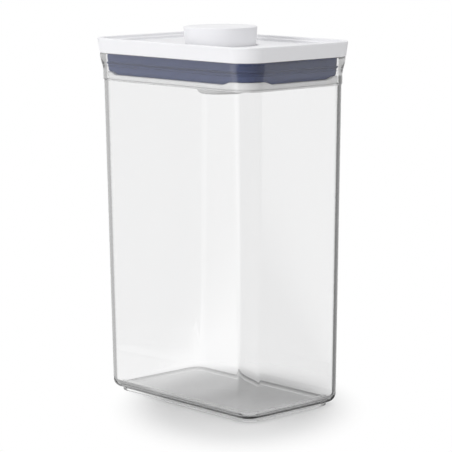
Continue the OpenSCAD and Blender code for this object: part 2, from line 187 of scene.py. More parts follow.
@dataclass(frozen=True)
class Outline:
    """Places round a plan.

    Args:
        anchors: Places of the corner centres, as shares of a row's half sizes.
        outs: Directions out of the plan.
    """

    anchors: np.ndarray
    outs: np.ndarray

    @classmethod
    def side(cls, side: Side, shares: np.ndarray) -> "Outline":
        """Places along one straight side, from -1 to 1 between its corner centres."""
        return cls(side.out + shares[:, None] * side.along, np.tile(side.out, (len(shares), 1)))

    @classmethod
    def corner(cls, side: Side, turns: np.ndarray) -> "Outline":
        """Places round the corner after a side, at angles in radians from that side's direction out."""
        outs = np.cos(turns)[:, None] * side.out + np.sin(turns)[:, None] * side.along
        return cls(np.tile(side.out + side.along, (len(turns), 1)), outs)

    @classmethod
    def circle(cls, count: int) -> "Outline":
        """Even places round a circle about the middle, anticlockwise from +X."""
        outs = directions(np.linspace(0.0, 2.0 * math.pi, count, endpoint=False))
        return cls(np.zeros_like(outs), outs)

    @classmethod
    def join(cls, parts: Sequence["Outline"]) -> "Outline":
        """One run of places from several."""
        anchors = np.concatenate([part.anchors for part in parts])
        return cls(anchors, np.concatenate([part.outs for part in parts]))

    @classmethod
    def rounded(cls, long_shares: np.ndarray, short_shares: np.ndarray, arc_steps: int) -> "Outline":
        """Whole rounded rectangle, from its right side round to the corner before it.

        Args:
            long_shares: Places along the front and the rear, from -1 to 1.
            short_shares: Places along the left and the right, from -1 to 1.
            arc_steps: Steps round a corner.

        Returns:
            The outline, anticlockwise from above.
        """
        turns = np.linspace(0.0, math.pi / 2.0, arc_steps + 1)[1:-1]
        parts = []
        for side in Side:
            shares = long_shares if side.is_long else short_shares
            parts += [cls.side(side, shares), cls.corner(side, turns)]
        return cls.join(parts)


@dataclass(frozen=True)
class Rise:
    """Raised corner of the seal and of its seat.

    Args:
        reach: How far the top runs along both sides, from the corner centre.
        slope: Length of the slope that follows.
        wave: Part of a cosine wave that the slope follows. At 180 it is level at both ends, and at 90 only
            at its foot.
    """

    reach: float
    slope: float
    wave: float

    def share(self, away: np.ndarray) -> np.ndarray:
        """Share of the rise: (1 - cos of the climb) / (1 - cos of the wave).

        The climb is the wave times the share of the slope that is left, from 1 at its top to 0 at its foot.

        Args:
            away: Distances from the corner centre, along the sides.

        Returns:
            Shares from 0 to 1.
        """
        wave = math.radians(self.wave)
        climb = wave * np.clip(1.0 - (away - self.reach) / self.slope, 0.0, 1.0)
        return (1.0 - np.cos(climb)) / (1.0 - math.cos(wave))


@dataclass(frozen=True)
class Plan:
    """Corner centres that every outline of the jar and lid shares.

    Args:
        corner_x: Half distance between corner centres along X.
        corner_y: Half distance between corner centres along Y.
        long_rise: Raised corners at the front right and the rear left.
        short_rise: Raised corners at the other two.
        arc_steps: Steps round a corner.
        shares: Places along a plain side, from -1 to 1.
        close_margin: How far close places run on past the longest slope.
        close_steps: Steps between the close places.
        wide_steps: Steps from there to the side's middle.
    """

    corner_x: float
    corner_y: float
    long_rise: Rise = Rise(3.0, 9.0, 180.0)
    short_rise: Rise = Rise(0.0, 6.5, 90.0)
    arc_steps: int = 28
    shares: tuple[float, ...] = (-1.0, -0.985, -0.8, -0.5, 0.0, 0.5, 0.8, 0.985, 1.0)
    close_margin: float = 3.0
    close_steps: int = 36
    wide_steps: int = 5

    @property
    def half(self) -> Pair:
        """Both half distances."""
        return self.corner_x, self.corner_y

    def half_along(self, side: Side) -> float:
        """Half length of a side between its corner centres."""
        return self.corner_x if side.is_long else self.corner_y

    def half_across(self, side: Side) -> float:
        """Distance from the middle to a side's corner centres."""
        return self.corner_y if side.is_long else self.corner_x

    def plain(self) -> Outline:
        """Outline with few places along the sides."""
        shares = np.array(self.shares)
        return Outline.rounded(shares, shares, self.arc_steps)

    def fine_shares(self, half: float) -> np.ndarray:
        """Shares along a side, close beside both corners and wide towards the middle.

        Args:
            half: Half length of the side.

        Returns:
            Shares from -1 to 1.
        """
        close = self.long_rise.reach + self.long_rise.slope + self.close_margin
        near = half - np.linspace(0.0, close, self.close_steps + 1)
        far = np.linspace(0.0, near[-1], self.wide_steps + 1)[1:-1]
        up = np.sort(np.concatenate([near, far]))
        return np.concatenate([-up[::-1], [0.0], up]) / half

    def fine(self) -> Outline:
        """Outline that resolves the slopes of the raised corners."""
        long_shares, short_shares = self.fine_shares(self.corner_x), self.fine_shares(self.corner_y)
        return Outline.rounded(long_shares, short_shares, self.arc_steps)

    def raised(self, outline: Outline) -> np.ndarray:
        """How far each place is raised: its highest share of a rise, by its distance from a corner centre.

        Args:
            outline: Places round the plan.

        Returns:
            Shares from 0 to 1, by place.
        """
        here = outline.anchors * np.array(self.half)
        share = np.zeros(len(here))
        for turn, rise in ((-1.0, self.long_rise), (1.0, self.short_rise)):
            spots = np.array([[1.0, turn], [-1.0, -turn]]) * np.array(self.half)
            away = np.abs(here[:, None] - spots[None]).sum(axis=2).min(axis=1)
            share = np.maximum(share, rise.share(away))
        return share


def rows_at(half: Pair, path: np.ndarray) -> np.ndarray:
    """Rows of half sizes, distance out and height, from a path of the last two."""
    return np.column_stack([np.tile(half, (len(path), 1)), path])


def carry(rows: np.ndarray, outline: Outline) -> np.ndarray:
    """Grid of rows carried round an outline: anchor times half sizes, plus distance times direction out.

    Args:
        rows: Half x, half y, distance out and height of each row.
        outline: Places round the plan.

    Returns:
        Points of the grid, by row and place.
    """
    flat = rows[:, None, 0:2] * outline.anchors[None] + rows[:, None, 2:3] * outline.outs[None]
    height = np.broadcast_to(rows[:, None, 3:4], flat.shape[:2] + (1,))
    return np.concatenate([flat, height], axis=2)


def arc(centre: Pair, radius: float, start: float, end: float, steps: int) -> np.ndarray:
    """Points of an arc in distance out and height: centre plus radius times (cos, sin) of each angle."""
    return np.array(centre) + radius * directions(np.radians(np.linspace(start, end, steps + 1)))


def rounding(spots: np.ndarray, radius: float, steps: int) -> np.ndarray:
    """Arc that rounds a corner between two lines.

    The arc touches its lines at radius / tan(half the corner's angle) from the corner. Its points are the
    centre plus a sum of the first and last radius, weighted by the sines of their shares of the sweep.

    Args:
        spots: Spot before the corner, the corner, and the spot after it.
        radius: Radius of the arc.
        steps: Steps of the arc.

    Returns:
        Points of distance out and height.
    """
    before, corner, after = spots
    back = (before - corner) / np.linalg.norm(before - corner)
    ahead = (after - corner) / np.linalg.norm(after - corner)
    half = math.acos(np.clip(back @ ahead, -1.0, 1.0)) / 2.0
    middle = (back + ahead) / np.linalg.norm(back + ahead)
    centre = corner + middle * radius / math.sin(half)
    first = corner + back * radius / math.tan(half) - centre
    last = corner + ahead * radius / math.tan(half) - centre
    sweep = math.pi - 2.0 * half
    share = np.linspace(0.0, 1.0, steps + 1)[:, None]
    mixed = np.sin((1.0 - share) * sweep) * first + np.sin(share * sweep) * last
    return centre + mixed / math.sin(sweep)


def rounded_path(corners: Sequence[Triple], steps: int = 6) -> np.ndarray:
    """Path through corners, each rounded by an arc of its own radius.

    A support point stands near both ends of each straight run, so that flats stay flat under smooth shading.

    Args:
        corners: Distance out, height and radius of each corner. The two ends are never rounded.
        steps: Steps of each arc.

    Returns:
        Points of distance out and height.
    """
    spots = np.array([corner[:2] for corner in corners], float)
    runs = []
    for index, (_, _, radius) in enumerate(corners):
        if radius == 0.0 or index in (0, len(corners) - 1):
            runs.append(spots[index : index + 1])
        else:
            runs.append(rounding(spots[index - 1 : index + 2], radius, steps))
    points = [runs[0]]
    for before, after in zip(runs, runs[1:]):
        start, end = before[-1], after[0]
        length = float(np.linalg.norm(end - start))
        if length > LONG_RUN:
            support = min(SUPPORT / length, SUPPORT_SHARE)
            points.append(start + np.array([[support], [1.0 - support]]) * (end - start))
        points.append(after)
    return np.concatenate(points)


def surface(name: str, points: np.ndarray, faces: list[list[int]], crease: float) -> Piece:
    """Object with a mesh, whose doubled points are merged and whose faces are turned outwards.

    Args:
        name: Name of the piece.
        points: Points, in millimetres.
        faces: Numbers of each face's points.
        crease: Angle over which an edge stays sharp.

    Returns:
        The new object, at the origin.
    """
    mesh = bpy.data.meshes.new(name)
    mesh.from_pydata((points * MM).tolist(), [], faces)
    work = bmesh.new()
    work.from_mesh(mesh)
    bmesh.ops.remove_doubles(work, verts=work.verts, dist=MERGE)
    bmesh.ops.recalc_face_normals(work, faces=work.faces)
    work.to_mesh(mesh)
    work.free()
    mesh.polygons.foreach_set("use_smooth", np.ones(len(mesh.polygons), bool))
    mesh.set_sharp_from_angle(angle=math.radians(crease))
    obj = bpy.data.objects.new(name, mesh)
    bpy.context.scene.collection.objects.link(obj)
    return obj


def skin(
    name: str,
    grid: np.ndarray,
    wrap_rows: bool = False,
    wrap_places: bool = True,
    crease: float = CREASE,
) -> Piece:
    """Mesh of a grid's cells: each has its own point, the next place's, and the two in the next row.

    A tube that is closed along its rows but open along its places gets one face over each end.

    Args:
        name: Name of the piece.
        grid: Points by row and place, in millimetres.
        wrap_rows: Whether the last row joins the first.
        wrap_places: Whether the last place joins the first.
        crease: Angle over which an edge stays sharp.

    Returns:
        The new object, at the origin.
    """
    rows, places = grid.shape[:2]
    index = np.arange(rows * places).reshape(rows, places)
    down = np.roll(index, -1, axis=0)
    across = np.roll(index, -1, axis=1)
    both = np.roll(down, -1, axis=1)
    cells = np.stack([index, across, both, down], axis=2)
    cells = cells[: rows if wrap_rows else rows - 1, : places if wrap_places else places - 1]
    faces = cells.reshape(-1, 4).tolist()
    if wrap_rows and not wrap_places:
        faces += [index[:, 0].tolist(), index[::-1, -1].tolist()]
    return surface(name, grid.reshape(-1, 3), faces, crease)


def oblong(low: float, high: float, low_z: float, high_z: float) -> np.ndarray:
    """Section of four corners, between two distances and two heights."""
    return np.array([[low, low_z], [high, low_z], [high, high_z], [low, high_z]])


def lift(flat: np.ndarray, section: np.ndarray) -> np.ndarray:
    """Flat copies of a section, each place at its own height."""
    heights = np.broadcast_to(section[None, :, 1:2], flat.shape[:2] + (1,))
    return np.concatenate([flat, heights], axis=2)


def straight(out: np.ndarray, section: np.ndarray, start: float, end: float) -> np.ndarray:
    """Two ends of a prism: distance along a direction, plus the section's own distance across it.

    Args:
        out: Direction of the prism.
        section: Distance across and height of each place.
        start: Distance of the first end.
        end: Distance of the last end.

    Returns:
        Points by end and place.
    """
    across = np.array([-out[1], out[0]])
    flat = np.array([start, end])[:, None, None] * out + section[None, :, 0:1] * across
    return lift(flat, section)


def curved(
    section: np.ndarray,
    start: float,
    end: float,
    centre: Pair = ROUND,
    steps: int = 12,
) -> np.ndarray:
    """Copies of a section turned about an upright axis: centre plus distance times (cos, sin) of the angle.

    Args:
        section: Distance out and height of each place.
        start: First angle.
        end: Last angle.
        centre: Place of the axis.
        steps: Steps between the two angles.

    Returns:
        Points by copy and place.
    """
    outs = directions(np.radians(np.linspace(start, end, steps + 1)))
    flat = np.array(centre) + section[None, :, 0:1] * outs[:, None]
    return lift(flat, section)


def prisms(name: str, grids: Sequence[np.ndarray], edge: float = 0.15) -> Piece:
    """Mesh of several like prisms with rounded edges.

    Each section is joined to the next one, and the first and last are closed.

    Args:
        name: Name of the piece.
        grids: For each prism, its points by section and place, in millimetres.
        edge: Radius of the edges.

    Returns:
        The new object, at the origin.
    """
    points = np.stack(grids)
    index = np.arange(points[..., 0].size).reshape(points.shape[:3])
    ahead = np.roll(index, -1, axis=2)
    walls = np.stack([index[:, :-1], ahead[:, :-1], ahead[:, 1:], index[:, 1:]], axis=3)
    faces = walls.reshape(-1, 4).tolist() + index[:, 0, ::-1].tolist() + index[:, -1].tolist()
    obj = surface(name, points.reshape(-1, 3), faces, CREASE)
    bevel = obj.modifiers.new("edges", "BEVEL")
    bevel.width = edge * MM
    bevel.segments = 2
    bevel.limit_method = "ANGLE"
    bevel.angle_limit = math.radians(CREASE)
    bevel.harden_normals = True
    return obj


class Nodes:
    """Short hand for the node tree of a material or world."""

    def __init__(self, tree: bpy.types.NodeTree) -> None:
        """Starts from an empty tree."""
        self.tree = tree
        tree.nodes.clear()

    def add(self, kind: str, **values: object) -> bpy.types.Node:
        """New node with some of its inputs set.

        Args:
            kind: Kind of node.
            values: A number, a colour or a socket, by the input's name with _ for a space.

        Returns:
            The node.
        """
        node = self.tree.nodes.new(kind)
        for key, value in values.items():
            self.put(node.inputs[key.replace("_", " ")], value)
        return node

    def put(self, socket: Socket, value: object) -> None:
        """Sets a socket, or links another one to it.

        Args:
            socket: Input to set.
            value: A number, a colour of three parts, or a socket.
        """
        if isinstance(value, Socket):
            self.tree.links.new(value, socket)
        elif isinstance(value, tuple) and len(value) == 3 and socket.type == "RGBA":
            socket.default_value = (*value, 1.0)
        else:
            socket.default_value = value

    def noise(self, scale: float, detail: float = 2.0) -> Socket:
        """Noise in object coordinates, at a scale in features per metre."""
        where = self.add("ShaderNodeTexCoord").outputs["Object"]
        return self.add("ShaderNodeTexNoise", Vector=where, Scale=scale, Detail=detail).outputs["Fac"]

    def ramp(self, value: Socket, source: Pair, target: Pair = (0.0, 1.0)) -> bpy.types.Node:
        """Maps one range to another along a straight line.

        Args:
            value: Value to map.
            source: Range that it comes from.
            target: Range that it goes to.

        Returns:
            The node, whose result is named Result.
        """
        low, high = source
        start, end = target
        return self.add(
            "ShaderNodeMapRange", Value=value, From_Min=low, From_Max=high, To_Min=start, To_Max=end)

    def spread(self, noise: Socket, target: Pair = (0.0, 1.0)) -> Socket:
        """Maps the usual values of a noise to a range."""
        return self.ramp(noise, NOISE_RANGE, target).outputs["Result"]

    def math(self, step: Calc, first: object, second: object) -> Socket:
        """One step of arithmetic.

        Args:
            step: What is done.
            first: First number or socket.
            second: Second number or socket.

        Returns:
            The result.
        """
        node = self.tree.nodes.new("ShaderNodeMath")
        node.operation = step.value
        self.put(node.inputs[0], first)
        self.put(node.inputs[1], second)
        return node.outputs[0]

    def mix(self, share: object, first: Triple, second: Triple) -> Socket:
        """Colour between two colours.

        Args:
            share: Share of the second colour.
            first: First colour.
            second: Second colour.

        Returns:
            The mixed colour.
        """
        node = self.add("ShaderNodeMix")
        node.data_type = "RGBA"
        self.put(node.inputs["Factor"], share)
        self.put(node.inputs[MixSocket.FIRST.value], first)
        self.put(node.inputs[MixSocket.SECOND.value], second)
        return node.outputs[MixSocket.RESULT.value]

    def mix_shaders(self, share: Socket, first: bpy.types.Node, second: bpy.types.Node) -> bpy.types.Node:
        """Shader between two shaders.

        Args:
            share: Share of the second shader.
            first: First shader.
            second: Second shader.

        Returns:
            The mixed shader.
        """
        node = self.add("ShaderNodeMixShader")
        for socket, value in zip(node.inputs, (share, first.outputs[0], second.outputs[0])):
            self.put(socket, value)
        return node

    def bump(self, height: Socket, depth: float) -> Socket:
        """Bumped normal, with the height's depth in millimetres."""
        node = self.add("ShaderNodeBump", Strength=1.0, Distance=depth * MM, Height=height)
        return node.outputs["Normal"]

    def background_rays(self) -> Socket:
        """1 for the rays that see the white background, and 0 for the others.

        Returns:
            The highest of the flags of these kinds of rays.
        """
        path = self.add("ShaderNodeLightPath")
        total = path.outputs[Rays.CAMERA.value]
        for rays in (Rays.GLOSSY, Rays.TRANSMISSION):
            total = self.math(Calc.MOST, total, path.outputs[rays.value])
        return total

    def unshaded_share(self, edge_shade_share: object) -> Socket:
        """1 for plain rays, and less by a painted shade for rays that were turned back inside a clear wall.

        Such a ray has been both bent and reflected and looks out of the wall sideways; dimming the white it
        sees paints shade along the edges of the clear walls.

        Args:
            edge_shade_share: Share of the painted shade, as a number or a socket.

        Returns:
            The share that is kept.
        """
        path = self.add("ShaderNodeLightPath")
        turned = self.math(Calc.LEAST, path.outputs["Glossy Depth"], path.outputs["Transmission Depth"])
        # Painted shade: the white that such a ray sees is dimmed.
        lost = self.math(Calc.MULTIPLY, self.math(Calc.LEAST, turned, 1.0), edge_shade_share)
        return self.math(Calc.SUBTRACT, 1.0, lost)

    def painted_reflection_light(self, place: Socket, stops: Sequence[Pair]) -> Socket:
        """1 for plain rays, and for mirrored ones a painted reflection: the strength at their place's
        direction round the jar.

        Args:
            place: Place that the ray meets.
            stops: Degrees from the front towards the right, over one turn from -90, each with its strength.

        Returns:
            The strength.
        """
        turn = self.add("ShaderNodeTexGradient", Vector=place)
        turn.gradient_type = "RADIAL"
        ramp = self.add("ShaderNodeValToRGB", Fac=turn.outputs["Fac"])
        top = max(strength for _, strength in stops)
        elements = ramp.color_ramp.elements
        ready = len(elements)
        for index, (degrees, strength) in enumerate(stops):
            stop = elements[index] if index < ready else elements.new(1.0)
            stop.position = (degrees - stops[0][0]) / 360.0
            stop.color = (*(strength / top,) * 3, 1.0)
        light = self.math(Calc.MULTIPLY, ramp.outputs["Color"], top)
        # Painted reflection: only rays off a mirror see these strengths.
        depth = self.add("ShaderNodeLightPath").outputs["Glossy Depth"]
        change = self.math(Calc.SUBTRACT, light, 1.0)
        return self.math(Calc.ADD, 1.0, self.math(Calc.MULTIPLY, self.math(Calc.LEAST, depth, 1.0), change))


def new_material(name: str) -> tuple[bpy.types.Material, Nodes, bpy.types.Node]:
    """Empty material.

    Args:
        name: Name of the material.

    Returns:
        The material, its nodes and its output.
    """
    material = bpy.data.materials.new(name)
    material.use_nodes = True
    nodes = Nodes(material.node_tree)
    return material, nodes, nodes.add("ShaderNodeOutputMaterial")


@dataclass(frozen=True)
class Finish:
    """Opaque finish with a fine grain and a slow change of tone.

    Args:
        slot: Slot of the record.
        colour: Base colour.
        tone: Share by which the colour darkens in its slow change.
        rough: Lowest and highest roughness.
        grain: Features of the fine grain per metre.
        grain_depth: Depth of the grain.
        metallic: Share of metal.
        sheen: Weight of the sheen.
        gloss: Level of the reflection at the surface.
        slow: Features of the slow change per metre.
        slow_detail: Finer layers of the slow change.
    """

    slot: str
    colour: Triple
    tone: float
    rough: Pair
    grain: float
    grain_depth: float
    metallic: float = 0.0
    sheen: float = 0.0
    gloss: float = 0.5
    slow: float = 26.0
    slow_detail: float = 4.0

    def material(self) -> bpy.types.Material:
        """Builds the material.

        Returns:
            The material, named for its slot.
        """
        material, nodes, output = new_material(self.slot)
        grain = nodes.noise(self.grain)
        slow = nodes.noise(self.slow, self.slow_detail)
        dark = tuple(part * (1.0 - self.tone) for part in self.colour)
        shader = nodes.add(
            "ShaderNodeBsdfPrincipled",
            Base_Color=nodes.mix(nodes.spread(slow), dark, self.colour),
            Roughness=nodes.spread(grain, self.rough),
            Metallic=self.metallic,
            Sheen_Weight=self.sheen,
            Specular_IOR_Level=self.gloss,
            Normal=nodes.bump(grain, self.grain_depth),
        )
        nodes.put(output.inputs["Surface"], shader.outputs[0])
        return material


@dataclass(frozen=True)
class ClearFinish:
    """Clear moulded plastic: slow waves of the surface, and a faint grey in the depth of the material.

    Args:
        slot: Slot of the record.
        ior: Index of refraction.
        waves: Waves of the surface per metre.
        wave_depth: Depth of the waves.
        depth_colour: Colour that the light keeps.
        density: How fast it takes that colour, per metre.
        shadow: Share of light that passes in a shadow.
    """

    slot: str
    ior: float = 1.57
    waves: float = 30.0
    wave_depth: float = 0.02
    depth_colour: Triple = (0.72, 0.74, 0.78)
    density: float = 9.0
    shadow: float = 0.95

    def material(self) -> bpy.types.Material:
        """Builds the material.

        Returns:
            The material, named for its slot.
        """
        material, nodes, output = new_material(self.slot)
        solid = nodes.add(
            "ShaderNodeBsdfPrincipled",
            Base_Color=WHITE,
            Roughness=0.0,
            IOR=self.ior,
            Transmission_Weight=1.0,
            Normal=nodes.bump(nodes.noise(self.waves, 1.0), self.wave_depth),
        )
        shade = nodes.add("ShaderNodeBsdfTransparent", Color=(self.shadow,) * 3)
        shadow_rays = nodes.add("ShaderNodeLightPath").outputs["Is Shadow Ray"]
        depth = nodes.add("ShaderNodeVolumeAbsorption", Color=self.depth_colour, Density=self.density)
        nodes.put(output.inputs["Surface"], nodes.mix_shaders(shadow_rays, solid, shade).outputs[0])
        nodes.put(output.inputs["Volume"], depth.outputs[0])
        return material


@dataclass
class Palette:
    """Finishes of the record's slots, with their materials.

    Args:
        clear: The jar.
        white: The lid's cover and the button.
        silicone: The seal.
        pale: The tray and the cup.
        acetal: The button's core and the pushers.
        steel: The spring and the latch's wire.
    """

    clear: ClearFinish = ClearFinish("clear_plastic")
    white: Finish = Finish(
        "white_plastic", (0.83, 0.83, 0.85), tone=0.012, rough=(0.36, 0.44), grain=1500.0,
        grain_depth=0.004, gloss=0.25)
    silicone: Finish = Finish(
        "seal_silicone", (0.073, 0.097, 0.212), tone=0.06, rough=(0.55, 0.68), grain=2200.0,
        grain_depth=0.01, sheen=0.05)
    pale: Finish = Finish(
        "pale_plastic", (0.93, 0.93, 0.93), tone=0.02, rough=(0.45, 0.55), grain=1800.0, grain_depth=0.005)
    acetal: Finish = Finish(
        "acetal", (0.75, 0.73, 0.66), tone=0.03, rough=(0.4, 0.5), grain=1600.0, grain_depth=0.004)
    steel: Finish = Finish(
        "spring_steel", (0.55, 0.56, 0.58), tone=0.1, rough=(0.22, 0.34), grain=3000.0,
        grain_depth=0.004, metallic=1.0)
    built: dict[str, bpy.types.Material] = field(init=False)

    def __post_init__(self) -> None:
        """Builds each material once."""
        finishes = (self.clear, self.white, self.silicone, self.pale, self.acetal, self.steel)
        self.built = {finish.slot: finish.material() for finish in finishes}

    def dress(self, obj: Piece, finish: Finish | ClearFinish) -> None:
        """Gives every slot of an object a finish's material, adding a slot if it has none.

        Args:
            obj: Object to dress.
            finish: One of the finishes.
        """
        if not obj.material_slots:
            obj.data.materials.append(None)
        for slot in obj.material_slots:
            slot.material = self.built[finish.slot]


@dataclass(frozen=True)
class Jar:
    """Clear jar as one closed skin: foot, tapered wall, sealing band, flared lip, and the same inside.

    Names that end in u are distances out from the corner centres, and those that end in z are heights.

    Args:
        plan: Corner centres.
        top_z: Top of the lip.
        lip_u: Outside of the lip.
        wall_top_u: Outside of the wall at its top.
        wall_low_u: Outside of the wall at its foot.
        band_u: Outside of the sealing band.
        wall_t: Thickness of the wall.
        band_step: Height of the step between the wall and the band.
        step_z: Foot of that step.
        flare_z0: Foot of the flare.
        flare_z1: Top of the flare.
        flare_steps: Steps of the flare.
        lip_edge_r: Radius of the lip's outer edge.
        lip_lead: Slope at the lip's inner edge, both across and down.
        fine_r: Radius of the small edges.
        bottom_r: Radius of the wall's lower edge.
        bottom_from: Angle at which that rounding starts.
        foot_h: Height of the foot ring.
        foot_half: Half distances between the foot's corner centres.
        foot_r: Corner radius of the foot ring.
        foot_w: Width of the foot ring.
        foot_edge_r: Radius of the foot ring's edges.
        foot_gap: How far the ring's outside stays below the wall's lower edge.
        middle_u: Where the underside's flat middle ends.
        flat_w: Width of the flat that is kept beside a rounding.
        floor_z: Inside of the floor.
        floor_r: Radius between the floor and the wall.
        crease: Angle over which an edge stays sharp.
    """

    plan: Plan
    top_z: float
    lip_u: float
    wall_top_u: float = 13.6
    wall_low_u: float = 10.2
    band_u: float = 14.2
    wall_t: float = 2.4
    band_step: float = 0.6
    step_z: float = 215.5
    flare_z0: float = 221.5
    flare_z1: float = 232.8
    flare_steps: int = 14
    lip_edge_r: float = 0.8
    lip_lead: float = 0.6
    fine_r: float = 0.2
    bottom_r: float = 6.0
    bottom_from: float = -78.0
    foot_h: float = 2.2
    foot_half: Pair = (57.6, 28.1)
    foot_r: float = 9.7
    foot_w: float = 3.0
    foot_edge_r: float = 0.5
    foot_gap: float = 0.05
    middle_u: float = 1.0
    flat_w: float = 2.0
    floor_z: float = 5.2
    floor_r: float = 4.0
    crease: float = 50.0

    def foot_rows(self) -> np.ndarray:
        """Rows of the underside's middle and of the foot ring, a bar with rounded edges.

        Returns:
            Rows of half sizes, distance out and height.
        """
        inner = self.foot_r - self.foot_w
        ring = rounded_path([
            (inner - self.flat_w, self.foot_h, 0.0),
            (inner, self.foot_h, self.foot_edge_r),
            (inner, 0.0, self.foot_edge_r),
            (self.foot_r, 0.0, self.foot_edge_r),
            (self.foot_r, self.foot_h - self.foot_gap, 0.0),
        ], steps=4)
        middle = np.array([[*ROUND, 0.0, self.foot_h], [*self.foot_half, self.middle_u, self.foot_h]])
        return np.concatenate([middle, rows_at(self.foot_half, ring)])

    def flare(self) -> np.ndarray:
        """Outside of the flare, from the band to the lip.

        It swells by 3 times the squared share of its height, less 2 times the cubed share.

        Returns:
            Points of distance out and height, without the two ends.
        """
        share = np.linspace(0.0, 1.0, self.flare_steps + 1)[1:-1]
        swell = share * share * (3.0 - 2.0 * share)
        out = self.band_u + (self.lip_u - self.band_u) * swell
        return np.stack([out, self.flare_z0 + (self.flare_z1 - self.flare_z0) * share], axis=1)

    def wall_rows(self) -> np.ndarray:
        """Rows from the rounded lower edge, over the lip and down the inside to the floor's middle.

        Returns:
            Rows of half sizes, distance out and height.
        """
        wall_z = self.foot_h + self.bottom_r
        band_z = self.step_z + self.band_step
        seal_u = self.band_u - self.wall_t
        inside_u = self.wall_low_u - self.wall_t
        centre = (self.wall_low_u - self.bottom_r, wall_z)
        lower = arc(centre, self.bottom_r, self.bottom_from, 0.0, steps=14)
        outer = rounded_path([
            (self.wall_low_u, wall_z, 0.0),
            (self.wall_top_u, self.step_z, self.fine_r),
            (self.band_u, band_z, self.fine_r),
            (self.band_u, self.flare_z0, 0.0),
        ], steps=4)
        lip = rounded_path([
            (self.lip_u, self.flare_z1, 0.0),
            (self.lip_u, self.top_z, self.lip_edge_r),
            (seal_u + self.lip_lead, self.top_z, self.fine_r),
            (seal_u, self.top_z - self.lip_lead, self.fine_r),
            (seal_u, band_z, self.fine_r),
            (self.wall_top_u - self.wall_t, self.step_z, self.fine_r),
            (inside_u, self.floor_z, self.floor_r),
            (inside_u - self.floor_r - self.flat_w, self.floor_z, 0.0),
        ], steps=10)
        rows = rows_at(self.plan.half, np.concatenate([lower[:-1], outer, self.flare(), lip]))
        return np.concatenate([rows, [[*ROUND, 0.0, self.floor_z]]])

    def build(self, palette: Palette) -> None:
        """Builds the jar on its body.

        Args:
            palette: Finishes.
        """
        rows = np.concatenate([self.foot_rows(), self.wall_rows()])
        obj = skin("clear_jar", carry(rows, self.plan.plain()), crease=self.crease)
        palette.dress(obj, palette.clear)
        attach(obj, "jar")
        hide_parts("jar")


@dataclass(frozen=True)
class Arms:
    """Where the pushers' arms run: the cover's guides hold them there, and the tray's ribs carry them.

    Args:
        width: Width of an arm.
        low_z: Underside of an arm.
        high_z: Top of an arm.
        gap: Running gap round an arm.
        guide_len: Length of a guide.
        near: Distance of the four inner guides from the middle.
        far: Distance of the two outer guides, on the long arms.
    """

    width: float = 16.0
    low_z: float = 231.1
    high_z: float = 233.2
    gap: float = 0.3
    guide_len: float = 4.5
    near: float = 28.25
    far: float = 56.4

    def spots(self) -> list[tuple[Side, float]]:
        """Side of each guide, and its distance from the middle."""
        return [(side, self.near) for side in Side] + [(Side.RIGHT, self.far), (Side.LEFT, self.far)]


